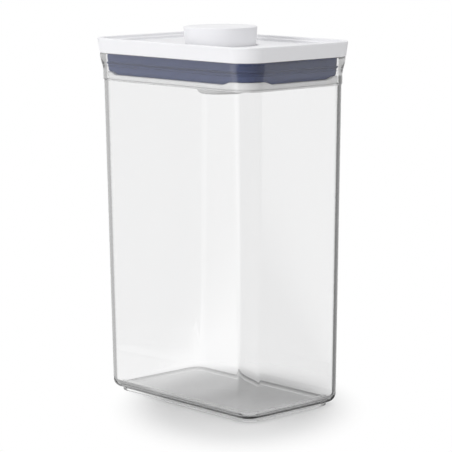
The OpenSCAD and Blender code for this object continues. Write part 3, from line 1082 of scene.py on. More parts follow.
@dataclass(frozen=True)
class LidCover:
    """White lid cover: drafted rim, stepped recess, deck, button well with its collar, and the underside.

    Args:
        plan: Corner centres.
        arms: Places of the pushers' arms.
        rim_z: Top of the rim.
        low_z: Foot of the rim.
        lid_r: Outside of the rim at its top, from the corner centres.
        rim_low_u: Outside of the rim at its foot.
        rim_top_w: Width of the rim's top.
        rim_t: Thickness of the rim's foot.
        rim_top_r: Radii of the rim's inner and outer upper edges.
        rim_low_r: Radii of its outer and inner lower edges.
        recess_wall_h: Height of the recess's upper wall.
        recess_ledge: Width and height of the sloping ledge below that wall.
        recess_r: Radius at the recess's foot.
        deck_z: Top of the deck.
        deck_t: Thickness of the deck.
        deck_flat: Widths of the flats that are kept beside the well and the recess's foot.
        well_r: Radius of the button's well.
        well_edge_r: Radius of the well's upper edge.
        collar_r: Outer radius of the well's collar.
        collar_z: Foot of the collar.
        shoulder_u: Inside and outside of the shoulder that holds the seal down.
        shoulder_z: Foot of the shoulder.
        root_r: Radius where the collar and the shoulder meet the deck.
        rim_root_r: Radius where the rim meets the deck.
        under_flat: Widths of the flats that are kept beside the shoulder and the collar.
        fine_r: Radius of the small edges.
        stop_z: Foot of the stops.
        stop_gap: How far the stops stay inside the collar's faces.
        stop_half_turn: Half the angle that a stop covers.
        guide_t: Thickness of a guide's legs.
        sunk: How far the guides and stops reach into what carries them.
    """

    plan: Plan
    arms: Arms
    rim_z: float
    low_z: float
    lid_r: float = LID_R
    rim_low_u: float = 16.6
    rim_top_w: float = 3.4
    rim_t: float = 2.2
    rim_top_r: Pair = (0.6, 0.7)
    rim_low_r: Pair = (0.5, 0.3)
    recess_wall_h: float = 1.6
    recess_ledge: float = 0.7
    recess_r: float = 0.4
    deck_z: float = 240.1
    deck_t: float = 2.4
    deck_flat: Pair = (6.0, 3.0)
    well_r: float = 24.95
    well_edge_r: float = 1.0
    collar_r: float = 26.75
    collar_z: float = 234.5
    shoulder_u: Pair = (5.6, 9.8)
    shoulder_z: float = 235.0
    root_r: float = 0.3
    rim_root_r: float = 0.4
    under_flat: Pair = (3.0, 4.0)
    fine_r: float = 0.2
    stop_z: float = 233.0
    stop_gap: float = 0.1
    stop_half_turn: float = 12.0
    guide_t: float = 1.8
    sunk: float = 0.3

    @property
    def under_z(self) -> float:
        """Underside of the deck."""
        return self.deck_z - self.deck_t

    def build(self, palette: Palette) -> None:
        """Builds the cover on the lid.

        Args:
            palette: Finishes.
        """
        for obj in (self.shell(), self.guides(), self.stops()):
            palette.dress(obj, palette.white)
            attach(obj, "lid")
            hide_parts("lid_cover")

    def guides(self) -> Piece:
        """Saddles under the deck, one over each place of the arms: a section with a slot, carried straight.

        Returns:
            The piece.
        """
        slot = self.arms.width / 2.0 + self.arms.gap
        outer = slot + self.guide_t
        foot = self.arms.low_z + self.arms.gap
        roof = self.arms.high_z + self.arms.gap
        top = self.under_z + self.sunk
        section = np.array([
            [-outer, foot], [-slot, foot], [-slot, roof], [slot, roof],
            [slot, foot], [outer, foot], [outer, top], [-outer, top],
        ])
        return prisms("arm_guides", [
            straight(side.out, section, place, place + self.arms.guide_len)
            for side, place in self.arms.spots()])

    def stops(self) -> Piece:
        """Four stops under the collar, which the button's tabs meet: an oblong turned about the axis.

        Returns:
            The piece.
        """
        inner, outer = self.well_r + self.stop_gap, self.collar_r - self.stop_gap
        section = oblong(inner, outer, self.stop_z, self.collar_z + self.sunk)
        half = self.stop_half_turn
        return prisms("button_stops", [curved(section, turn - half, turn + half) for turn in QUARTERS])

    def rim_path(self) -> np.ndarray:
        """Profile from the deck over the rim and along the underside, past the shoulder.

        Returns:
            Points of distance out from the corner centres, and height.
        """
        recess = self.lid_r - self.rim_top_w
        ledge = recess - self.recess_ledge
        wall_z = self.rim_z - self.recess_wall_h
        rim_in = self.rim_low_u - self.rim_t
        inner, outer = self.shoulder_u
        return rounded_path([
            (ledge - self.deck_flat[1], self.deck_z, 0.0),
            (ledge, self.deck_z, self.recess_r),
            (ledge, wall_z - self.recess_ledge, self.fine_r),
            (recess, wall_z, self.fine_r),
            (recess, self.rim_z, self.rim_top_r[0]),
            (self.lid_r, self.rim_z, self.rim_top_r[1]),
            (self.rim_low_u, self.low_z, self.rim_low_r[0]),
            (rim_in, self.low_z, self.rim_low_r[1]),
            (rim_in, self.under_z, self.rim_root_r),
            (outer, self.under_z, self.root_r),
            (outer, self.shoulder_z, self.fine_r),
            (inner, self.shoulder_z, self.fine_r),
            (inner, self.under_z, self.root_r),
            (inner - self.under_flat[0], self.under_z, 0.0),
        ])

    def shell(self) -> Piece:
        """Cover without its guides and stops: well, rim and collar as one closed profile.

        Returns:
            The piece.
        """
        well = rounded_path([
            (self.well_r, self.collar_z, 0.0),
            (self.well_r, self.deck_z, self.well_edge_r),
            (self.well_r + self.deck_flat[0], self.deck_z, 0.0),
        ])
        collar = rounded_path([
            (self.collar_r + self.under_flat[1], self.under_z, 0.0),
            (self.collar_r, self.under_z, self.root_r),
            (self.collar_r, self.collar_z, self.fine_r),
            (self.well_r, self.collar_z, 0.0),
        ])
        rim = rows_at(self.plan.half, self.rim_path())
        rows = np.concatenate([rows_at(ROUND, well), rim, rows_at(ROUND, collar[:-1])])
        return skin("cover_shell", carry(rows, self.plan.plain()), wrap_rows=True)


@dataclass(frozen=True)
class PushButton:
    """White round button: flared side, rounded upper edge, hollow underside with the core's socket.

    Args:
        top_z: Top of the button.
        skirt_z: Foot of the skirt.
        radius: Radius at the top.
        flare: Growth of the radius for each millimetre of height.
        edge_r: Radius of the upper edge.
        edge_gap: How far below that rounding the straight side starts.
        top_flat: Widths of the two flats that are kept beside it.
        skirt_t: Thickness of the skirt.
        skirt_r: Radius of the skirt's lower edges.
        cap_t: Thickness of the cap.
        cap_root_r: Radius between the cap and the skirt.
        socket_r: Radius of the core's socket.
        socket_t: Thickness of the socket's wall.
        socket_h: Height of the socket's wall.
        socket_root_r: Radii where that wall meets the cap, outside and inside.
        socket_edge_r: Radius of its lower edges.
        socket_flat: Width of the flat that is kept inside it.
        rib_count: Number of ribs under the cap.
        rib_t: Thickness of a rib.
        rib_h: Height of a rib.
        sunk: How far a rib reaches into the cap.
        tab_r: Outer radius of the tabs.
        tab_h: Height of the tabs.
        tab_half_turn: Half the angle that a tab covers.
        places: Places round the button.
    """

    top_z: float
    skirt_z: float
    radius: float = 24.65
    flare: float = 0.08
    edge_r: float = 0.7
    edge_gap: float = 0.2
    top_flat: Pair = (6.0, 0.3)
    skirt_t: float = 1.8
    skirt_r: float = 0.4
    cap_t: float = 2.6
    cap_root_r: float = 0.8
    socket_r: float = 12.1
    socket_t: float = 1.6
    socket_h: float = 3.5
    socket_root_r: Pair = (0.5, 0.4)
    socket_edge_r: float = 0.3
    socket_flat: float = 2.0
    rib_count: int = 8
    rib_t: float = 1.4
    rib_h: float = 4.0
    sunk: float = 0.3
    tab_r: float = 26.45
    tab_h: float = 2.0
    tab_half_turn: float = 10.0
    places: int = 160

    @property
    def under_z(self) -> float:
        """Underside of the cap."""
        return self.top_z - self.cap_t

    def radius_at(self, height: float) -> float:
        """Radius of the flared side."""
        return self.radius - self.flare * (self.top_z - height)

    def build(self, palette: Palette) -> None:
        """Builds the button on its body.

        Args:
            palette: Finishes.
        """
        for obj in (self.shell(), self.ribs(), self.tabs()):
            palette.dress(obj, palette.white)
            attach(obj, "button")
            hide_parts("push_button")

    def ribs(self) -> Piece:
        """Ribs under the cap, from the socket to the skirt, at even angles that start half a step from +X.

        Returns:
            The piece.
        """
        low_z = self.under_z - self.rib_h
        section = oblong(-self.rib_t / 2.0, self.rib_t / 2.0, low_z, self.under_z + self.sunk)
        start = self.socket_r + self.socket_t / 2.0
        end = self.radius_at(low_z) - self.skirt_t / 2.0
        outs = directions(2.0 * math.pi / self.rib_count * (np.arange(self.rib_count) + 0.5))
        return prisms("cap_ribs", [straight(out, section, start, end) for out in outs])

    def tabs(self) -> Piece:
        """Four tabs at the skirt's foot, which keep the button in the well: an oblong turned about the axis.

        Returns:
            The piece.
        """
        inner = self.radius_at(self.skirt_z) - self.skirt_t / 2.0
        section = oblong(inner, self.tab_r, self.skirt_z, self.skirt_z + self.tab_h)
        half = self.tab_half_turn
        return prisms("button_tabs", [curved(section, turn - half, turn + half) for turn in QUARTERS])

    def shell(self) -> Piece:
        """Button without ribs and tabs: a profile from the top's middle to the underside's, turned round.

        Returns:
            The piece.
        """
        low = self.radius_at(self.skirt_z)
        socket_out = self.socket_r + self.socket_t
        socket_z = self.under_z - self.socket_h
        edge_z = self.top_z - self.edge_r
        edge_u = self.radius_at(edge_z) - self.edge_r
        side_z = edge_z - self.edge_gap
        top = [[0.0, self.top_z]] + [[edge_u - flat, self.top_z] for flat in self.top_flat]
        below = rounded_path([
            (self.radius_at(side_z), side_z, 0.0),
            (low, self.skirt_z, self.skirt_r),
            (low - self.skirt_t, self.skirt_z, self.skirt_r),
            (self.radius_at(self.under_z) - self.skirt_t, self.under_z, self.cap_root_r),
            (socket_out, self.under_z, self.socket_root_r[0]),
            (socket_out, socket_z, self.socket_edge_r),
            (self.socket_r, socket_z, self.socket_edge_r),
            (self.socket_r, self.under_z, self.socket_root_r[1]),
            (self.socket_r - self.socket_flat, self.under_z, 0.0),
        ])
        edge = arc((edge_u, edge_z), self.edge_r, 90.0, 0.0, steps=10)
        path = np.concatenate([top, edge, below, [[0.0, self.under_z]]])
        return skin("button_cap", carry(rows_at(ROUND, path), Outline.circle(self.places)))


@dataclass(frozen=True)
class Seal:
    """Silicone seal in three pieces a side: for each side its middle, and both ends with half a corner each.

    The slopes below are worked out for a point's share of the pusher's travel, which falls with its distance
    out, its height above the lip and its distance past the pad's end; the pieces do not follow the pushers.

    Args:
        plan: Corner centres.
        top_z: Top of the seal.
        lip_u: Edge of the sealing lip, from the corner centres.
        band_out_u: Outside of the band.
        band_in_u: Inside of the band.
        flange_in_u: Inside of the flange.
        flange_t: Thickness of the flange.
        flange_r: Radius of its edges.
        flange_root_r: Radius where it meets the band.
        seat_z: Foot of the seal along the sides.
        corner_lift: How much higher the foot is at the raised corners.
        lift_to: Height above which nothing is raised there.
        edge_h: Height of the curved lower edge.
        edge_w: Width of the curved lower edge.
        edge_gap: How far above that edge the straight band starts.
        lip_z: Top of the lip's edge.
        lip_rise: Heights of the lip's lower foot, lower edge, upper edge and upper foot, from lip_z.
        lip_r: Radii at these four.
        ridge_out: How far the ridge stands out of the band.
        ridge_z: Height of the ridge.
        ridge_rise: Heights of the ridge's lower foot, crest and upper foot, from ridge_z.
        ridge_r: Radii at these three.
        pad_end_gap: Distance from a pad's end to the corner centre.
        slope_out: Share lost for each millimetre out.
        slope_up: Share lost for each millimetre up.
        slope_along: Share lost for each millimetre past the pad's end.
        crease: Angle over which an edge stays sharp.
    """

    plan: Plan
    top_z: float
    lip_u: float
    band_out_u: float = 9.7
    band_in_u: float = 7.7
    flange_in_u: float = 5.7
    flange_t: float = 1.5
    flange_r: float = 0.2
    flange_root_r: float = 0.3
    seat_z: float = 219.4
    corner_lift: float = 2.0
    lift_to: float = 224.2
    edge_h: float = 4.0
    edge_w: float = 1.5
    edge_gap: float = 0.3
    lip_z: float = 228.7
    lip_rise: tuple[float, ...] = (-1.1, -0.25, 0.0, 0.6)
    lip_r: tuple[float, ...] = (0.15, 0.08, 0.08, 0.25)
    ridge_out: float = 0.9
    ridge_z: float = 226.1
    ridge_rise: Triple = (-0.5, 0.1, 0.9)
    ridge_r: Triple = (0.15, 0.15, 0.2)
    pad_end_gap: float = 7.0
    slope_out: float = 0.192
    slope_up: float = 0.25
    slope_along: float = 0.081
    crease: float = 60.0

    def path(self) -> np.ndarray:
        """Section of the seal, closed.

        The lower edge is an arc that meets the band upright. Its radius is the sum of the squares of its
        height and width, over twice the width.

        Returns:
            Points of distance out and height.
        """
        edge_r = (self.edge_h ** 2 + self.edge_w ** 2) / (2.0 * self.edge_w)
        edge_angle = math.degrees(math.asin(self.edge_h / edge_r))
        edge_z = self.seat_z + self.edge_h
        band = self.band_out_u
        under_z = self.top_z - self.flange_t
        lower = arc((band - edge_r, edge_z), edge_r, -edge_angle, 0.0, steps=10)
        ridge_u = (band, band + self.ridge_out, band)
        lip_u = (band, self.lip_u, self.lip_u, band)
        upper = rounded_path([
            (band, edge_z + self.edge_gap, 0.0),
            *((u, self.ridge_z + rise, r) for u, rise, r in zip(ridge_u, self.ridge_rise, self.ridge_r)),
            *((u, self.lip_z + rise, r) for u, rise, r in zip(lip_u, self.lip_rise, self.lip_r)),
            (band, self.top_z, self.flange_r),
            (self.flange_in_u, self.top_z, self.flange_r),
            (self.flange_in_u, under_z, self.flange_r),
            (self.band_in_u, under_z, self.flange_root_r),
            (self.band_in_u, self.seat_z, 0.0),
        ], steps=4)
        return np.concatenate([lower, upper])

    def grid(self, outline: Outline) -> np.ndarray:
        """Section carried round an outline and squeezed up at the raised corners.

        The squeeze falls evenly from 1 at the seat to 0 at lift_to.

        Args:
            outline: Places round the plan.

        Returns:
            Points of the grid, by row and place.
        """
        path = self.path()
        points = carry(rows_at(self.plan.half, path), outline)
        squeeze = np.clip((self.lift_to - path[:, 1]) / (self.lift_to - self.seat_z), 0.0, 1.0)
        points[:, :, 2] += self.corner_lift * squeeze[:, None] * self.plan.raised(outline)[None]
        return points

    def build_piece(self, name: str, side: Side, outline: Outline, end: End, palette: Palette) -> None:
        """Builds one piece, with its place baked into its mesh.

        It works out the slope of a point's share of the pusher's travel, and the spot on the pad's face at
        the lip's height, in the pad's middle or at its end, that would follow wholly. Neither is used, and
        the piece does not follow its pusher.

        Args:
            name: Name of the piece.
            side: Side that the piece lies on.
            outline: Places of the piece.
            end: Stretch of the side that it covers.
            palette: Finishes.
        """
        obj = skin(name, self.grid(outline), wrap_rows=True, wrap_places=False, crease=self.crease)
        palette.dress(obj, palette.silicone)
        out, along = np.append(side.out, 0.0), np.append(side.along, 0.0)
        slope = -self.slope_out * out - self.slope_up * np.array([0.0, 0.0, 1.0])
        slope -= end.value * self.slope_along * along
        whole = np.append((self.plan.half_across(side) + self.band_in_u) * side.out, self.lip_z)
        whole += end.value * (self.plan.half_along(side) - self.pad_end_gap) * along
        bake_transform(obj)
        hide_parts("gasket")

    def build(self, palette: Palette) -> None:
        """Builds the twelve pieces: for each side its middle, and both ends with half a corner each.

        Args:
            palette: Finishes.
        """
        quarter = math.pi / 4.0
        steps = self.plan.arc_steps // 2
        for side in Side:
            half = self.plan.half_along(side)
            pad = (half - self.pad_end_gap) / half
            shares = self.plan.fine_shares(half)
            middle = np.concatenate([[-pad], shares[np.abs(shares) < pad - SAME_PLACE], [pad]])
            late = np.concatenate([[pad], shares[shares > pad + SAME_PLACE]])
            before = Outline.corner(side.before, np.linspace(quarter, 2.0 * quarter, steps + 1)[:-1])
            after = Outline.corner(side, np.linspace(0.0, quarter, steps + 1)[1:])
            last = Outline.join([Outline.side(side, late), after])
            first = Outline.join([before, Outline.side(side, -late[::-1])])
            name = f"seal_{side.name.lower()}"
            self.build_piece(name, side, Outline.side(side, middle), End.MIDDLE, palette)
            self.build_piece(f"{name}_end", side, last, End.AFTER, palette)
            self.build_piece(f"{name}_start", side, first, End.BEFORE, palette)


@dataclass(frozen=True)
class LidBase:
    """Pale tray under the seal: lower edge, seat with raised corners, upstand, floor, posts and ribs.

    Args:
        plan: Corner centres.
        arms: Places of the pushers' arms.
        low_z: Foot of the solid tray.
        high_z: Top of the posts.
        out_u: Outside of the tray, from the corner centres.
        edge_w: Width of the rounded lower edge.
        edge_h: Height of the rounded lower edge.
        under_lift: How much higher the underside is than the solid's.
        seat_z: Top of the seat that the seal stands on.
        seat_r: Radius of the seat's edge.
        corner_lift: How much higher the seat is at the raised corners.
        upstand_u: Inside and outside of the upstand behind the seal.
        upstand_z: Top of the upstand.
        upstand_r: Radius of its upper edges.
        floor_z: Inside of the floor.
        floor_r: Radius between the floor and the upstand.
        floor_flat: Width of the flat that is kept beside that rounding.
        hole_r: Radius of the cup's hole.
        hole_flat: Widths of the two flats that are kept beside the hole.
        post_u: Inside and outside of the posts.
        rib_t: Thickness of a rib.
        sunk: How far the posts and ribs reach into the floor.
    """

    plan: Plan
    arms: Arms
    low_z: float
    high_z: float
    out_u: float = 10.9
    edge_w: float = 1.5
    edge_h: float = 1.2
    under_lift: float = 0.6
    seat_z: float = 219.4
    seat_r: float = 0.8
    corner_lift: float = 2.0
    upstand_u: Pair = (6.0, 7.6)
    upstand_z: float = 222.4
    upstand_r: float = 0.3
    floor_z: float = 216.9
    floor_r: float = 0.4
    floor_flat: float = 2.0
    hole_r: float = 15.05
    hole_flat: Pair = (0.3, 4.0)
    post_u: Pair = (3.9, 5.5)
    rib_t: float = 1.6
    sunk: float = 0.5

    @property
    def under_z(self) -> float:
        """Height of the underside."""
        return self.low_z + self.under_lift

    def build(self, palette: Palette) -> None:
        """Builds the tray on the lid.

        Args:
            palette: Finishes.
        """
        for obj in (self.tray(), self.posts(), self.ribs()):
            palette.dress(obj, palette.pale)
            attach(obj, "lid")
            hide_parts("lid_base")

    def posts(self) -> Piece:
        """Posts from the tray up to the deck: an oblong turned about each corner centre by a quarter.

        Returns:
            The piece.
        """
        section = oblong(*self.post_u, self.floor_z - self.sunk, self.high_z)
        grids = []
        for side in Side:
            centre = tuple((side.out + side.along) * np.array(self.plan.half))
            grids.append(curved(section, 90.0 * side.value, 90.0 * side.value + 90.0, centre))
        return prisms("tray_posts", grids)

    def ribs(self) -> Piece:
        """Ribs that the arms slide on, one under each guide: an oblong carried straight.

        Returns:
            The piece.
        """
        half = self.arms.width / 2.0
        section = oblong(-half, half, self.floor_z - self.sunk, self.arms.low_z - self.arms.gap)
        start = self.arms.guide_len / 2.0 - self.rib_t / 2.0
        return prisms("tray_ribs", [
            straight(side.out, section, place + start, place + start + self.rib_t)
            for side, place in self.arms.spots()])

    def rim_path(self) -> np.ndarray:
        """Profile from the underside over the seat and the upstand to the floor.

        The lower edge is a quarter of an ellipse: a unit arc times its width and height.

        Returns:
            Points of distance out from the corner centres, and height.
        """
        inner, outer = self.upstand_u
        size = np.array([self.edge_w, self.edge_h])
        edge_z = self.under_z + self.edge_h
        quarter = arc(ROUND, 1.0, -90.0, 0.0, steps=16)
        lower = quarter * size + np.array([self.out_u - self.edge_w, edge_z])
        upper = rounded_path([
            (self.out_u, edge_z, 0.0),
            (self.out_u, self.seat_z, self.seat_r),
            (outer, self.seat_z, 0.0),
            (outer, self.upstand_z, self.upstand_r),
            (inner, self.upstand_z, self.upstand_r),
            (inner, self.floor_z, self.floor_r),
            (inner - self.floor_flat, self.floor_z, 0.0),
        ], steps=8)
        return np.concatenate([lower[:-1], upper])

    def tray(self) -> Piece:
        """Tray without its posts and ribs: hole, rim and floor as one closed profile.

        At the raised corners the outside is stretched up, by its share of the height from the underside to
        the seat.

        Returns:
            The piece.
        """
        near, far = (self.hole_r + flat for flat in self.hole_flat)
        hole = np.array([
            [self.hole_r, self.floor_z],
            [self.hole_r, self.under_z],
            [near, self.under_z],
            [far, self.under_z],
        ])
        back = np.array([[far, self.floor_z], [near, self.floor_z]])
        rim = self.rim_path()
        outside = (rim[:, 1] < self.seat_z + SLACK) & (rim[:, 0] > self.upstand_u[1] - SLACK)
        stretch = outside * np.clip((rim[:, 1] - self.under_z) / (self.seat_z - self.under_z), 0.0, 1.0)
        stretch = np.concatenate([np.zeros(len(hole)), stretch, np.zeros(len(back))])
        rows = np.concatenate([rows_at(ROUND, hole), rows_at(self.plan.half, rim), rows_at(ROUND, back)])
        outline = self.plan.fine()
        points = carry(rows, outline)
        points[:, :, 2] += self.corner_lift * stretch[:, None] * self.plan.raised(outline)[None]
        return skin("base_tray", points, wrap_rows=True)


@dataclass(frozen=True)
class SpringCup:
    """Cup under the tray: rounded lower edge, flange, spring seat and guide pin.

    Args:
        low_z: Underside of the cup.
        top_z: Top of the pin.
        radius: Outer radius.
        edge_r: Radius of the lower edge.
        under_flat: Distance from the outside to where the underside's flat middle ends.
        wall_t: Thickness of the wall.
        floor_t: Thickness of the floor and of the flange.
        floor_r: Radius between the floor and the wall.
        flange_r: Outer radius of the flange.
        flange_z: Underside of the flange.
        flange_root_r: Radius where the flange meets the wall below.
        flange_edge_r: Radius of the flange's edges.
        mouth_r: Radius of the cup's upper edge.
        pin_r: Radius of the pin.
        pin_lead: Slope at the pin's top, both across and down.
        pin_root_r: Radius where the pin meets the floor.
        pin_edge_r: Radius of the pin's edges.
        pin_flat: Radius of the flat middle of the pin's top.
        boss_x: Both ends of the wire's block.
        boss_half_w: Half width of the block.
        boss_h: Height of the block.
        sunk: How far the block reaches into the floor.
        places: Places round the cup.
    """

    low_z: float
    top_z: float
    radius: float = 15.0
    edge_r: float = 3.5
    under_flat: float = 5.0
    wall_t: float = 1.6
    floor_t: float = 2.0
    floor_r: float = 0.8
    flange_r: float = 18.8
    flange_z: float = 216.9
    flange_root_r: float = 0.15
    flange_edge_r: float = 0.3
    mouth_r: float = 0.4
    pin_r: float = 3.4
    pin_lead: float = 0.8
    pin_root_r: float = 0.6
    pin_edge_r: float = 0.2
    pin_flat: float = 0.8
    boss_x: Pair = (10.5, 13.9)
    boss_half_w: float = 1.8
    boss_h: float = 4.0
    sunk: float = 0.5
    places: int = 96

    @property
    def floor_z(self) -> float:
        """Inside of the floor, where the spring stands."""
        return self.low_z + self.floor_t

    def build(self, palette: Palette) -> None:
        """Builds the cup on the lid.

        Args:
            palette: Finishes.
        """
        for obj in (self.shell(), self.boss()):
            palette.dress(obj, palette.pale)
            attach(obj, "lid")
            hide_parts("spring_cup")

    def boss(self) -> Piece:
        """Block in the cup that holds the foot of the latch's wire: an oblong carried straight.

        Returns:
            The piece.
        """
        half = self.boss_half_w
        section = oblong(-half, half, self.floor_z - self.sunk, self.floor_z + self.boss_h)
        return prisms("wire_boss", [straight(Side.RIGHT.out, section, *self.boss_x)])

    def shell(self) -> Piece:
        """Cup without the block: a profile from the underside's middle to the pin's top, turned round.

        Returns:
            The piece.
        """
        inner = self.radius - self.wall_t
        mouth_z = self.flange_z + self.floor_t
        side = rounded_path([
            (self.radius - self.under_flat, self.low_z, 0.0),
            (self.radius, self.low_z, self.edge_r),
            (self.radius, self.flange_z, self.flange_root_r),
            (self.flange_r, self.flange_z, self.flange_edge_r),
            (self.flange_r, mouth_z, self.flange_edge_r),
            (inner, mouth_z, self.mouth_r),
            (inner, self.floor_z, self.floor_r),
            (self.pin_r, self.floor_z, self.pin_root_r),
            (self.pin_r, self.top_z - self.pin_lead, self.pin_edge_r),
            (self.pin_r - self.pin_lead, self.top_z, self.pin_edge_r),
            (self.pin_flat, self.top_z, 0.0),
        ], steps=8)
        path = np.concatenate([[[0.0, self.low_z]], side, [[0.0, self.top_z]]])
        return skin("cup_shell", carry(rows_at(ROUND, path), Outline.circle(self.places)))


@dataclass(frozen=True)
class ReturnSpring:
    """Compression spring of round wire, wound evenly.

    Args:
        low_z: Foot of the spring.
        high_z: Top of the spring.
        mean_r: Radius of the wire's middle.
        wire_r: Radius of the wire.
        turns: Number of turns.
        rings: Places along each turn.
        sides: Places round the wire.
        travel: How far the button presses it. Not used.
        crease: Angle over which an edge stays sharp.
    """

    low_z: float
    high_z: float
    mean_r: float = 4.85
    wire_r: float = 0.5
    turns: int = 8
    rings: int = 40
    sides: int = 14
    travel: float = 13.2
    crease: float = 60.0

    def grid(self) -> np.ndarray:
        """Tube round a helix.

        A point is the helix's centre, plus the wire's radius times cos of its angle outwards and sin of it
        along the direction square to the helix.

        Returns:
            Points by place round the wire and place along it.
        """
        share = np.linspace(0.0, 1.0, self.turns * self.rings + 1)
        angle = 2.0 * math.pi * self.turns * share
        length = self.high_z - self.low_z - 2.0 * self.wire_r
        pitch = math.atan2(length / self.turns, 2.0 * math.pi * self.mean_r)
        level = np.zeros_like(angle)
        out = np.column_stack([directions(angle), level])
        tilt = math.sin(pitch)
        up = np.column_stack([tilt * np.sin(angle), -tilt * np.cos(angle), level + math.cos(pitch)])
        centre = self.mean_r * out
        centre[:, 2] = self.low_z + self.wire_r + length * share
        spin = np.linspace(0.0, 2.0 * math.pi, self.sides, endpoint=False)[:, None, None]
        return centre[None] + self.wire_r * (np.cos(spin) * out[None] + np.sin(spin) * up[None])

    def build(self, palette: Palette) -> None:
        """Builds the coil on the lid.

        Args:
            palette: Finishes.
        """
        obj = skin("spring_coil", self.grid(), wrap_rows=True, wrap_places=False, crease=self.crease)
        palette.dress(obj, palette.steel)
        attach(obj, "lid")
        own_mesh(obj)
        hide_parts("return_spring")


@dataclass(frozen=True)
class Works:
    """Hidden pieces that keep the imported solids' own shapes.

    Args:
        nodes: The solids, by name.
        moulded: Names of the plastic ones.
        drawn: Names of those of wire.
        disc_t: Thickness of the core's disc, under which the spring ends.
    """

    nodes: dict[str, Piece]
    moulded: tuple[str, ...] = ("button_core", "pusher_front", "pusher_rear", "pusher_left", "pusher_right")
    drawn: tuple[str, ...] = ("latch_wire",)
    disc_t: float = 1.8

    def dress(self, palette: Palette) -> None:
        """Gives each its finish.

        Args:
            palette: Finishes.
        """
        for name in self.moulded:
            palette.dress(self.nodes[name], palette.acetal)
        for name in self.drawn:
            palette.dress(self.nodes[name], palette.steel)


@dataclass(frozen=True)
class Camera:
    """Camera fitted to the photograph, as turns round a point on the jar's axis.

    Args:
        azimuth: Turn from the front towards the right.
        elevation: Angle above the horizon.
        roll: Turn about the line of sight.
        distance: Distance from the point.
        target_z: Height of the point.
        focal_px: Focal length, in pixels of the photograph.
        centre_px: Where the point falls, in these pixels.
        picture_px: Width of the photograph.
        sensor: Width of the sensor.
        clip: Nearest and furthest distance that is drawn, in metres.
    """

    azimuth: float = 48.19
    elevation: float = 8.86
    roll: float = -0.38
    distance: float = 1413.9
    target_z: float = 120.0
    focal_px: float = 2094.8
    centre_px: Pair = (221.78, 222.88)
    picture_px: float = 452.0
    sensor: float = 36.0
    clip: Pair = (0.05, 60.0)

    def build(self) -> None:
        """Places the camera and makes it the scene's."""
        turn, tilt, roll = (math.radians(angle) for angle in (self.azimuth, self.elevation, self.roll))
        back = Vector((math.sin(turn) * math.cos(tilt), -math.cos(turn) * math.cos(tilt), math.sin(tilt)))
        level = Vector((math.cos(turn), math.sin(turn), 0.0))
        upright = back.cross(level)
        right = level * math.cos(roll) + upright * math.sin(roll)
        up = upright * math.cos(roll) - level * math.sin(roll)
        data = bpy.data.cameras.new("camera")
        data.sensor_width = self.sensor
        data.lens = self.focal_px / self.picture_px * self.sensor
        data.shift_x = 0.5 - self.centre_px[0] / self.picture_px
        data.shift_y = self.centre_px[1] / self.picture_px - 0.5
        data.clip_start, data.clip_end = self.clip
        obj = bpy.data.objects.new("camera", data)
        place = Vector((0.0, 0.0, self.target_z * MM)) + back * (self.distance * MM)
        obj.matrix_world = Matrix.Translation(place) @ Matrix((right, up, back)).transposed().to_4x4()
        bpy.context.scene.collection.objects.link(obj)
        bpy.context.scene.camera = obj


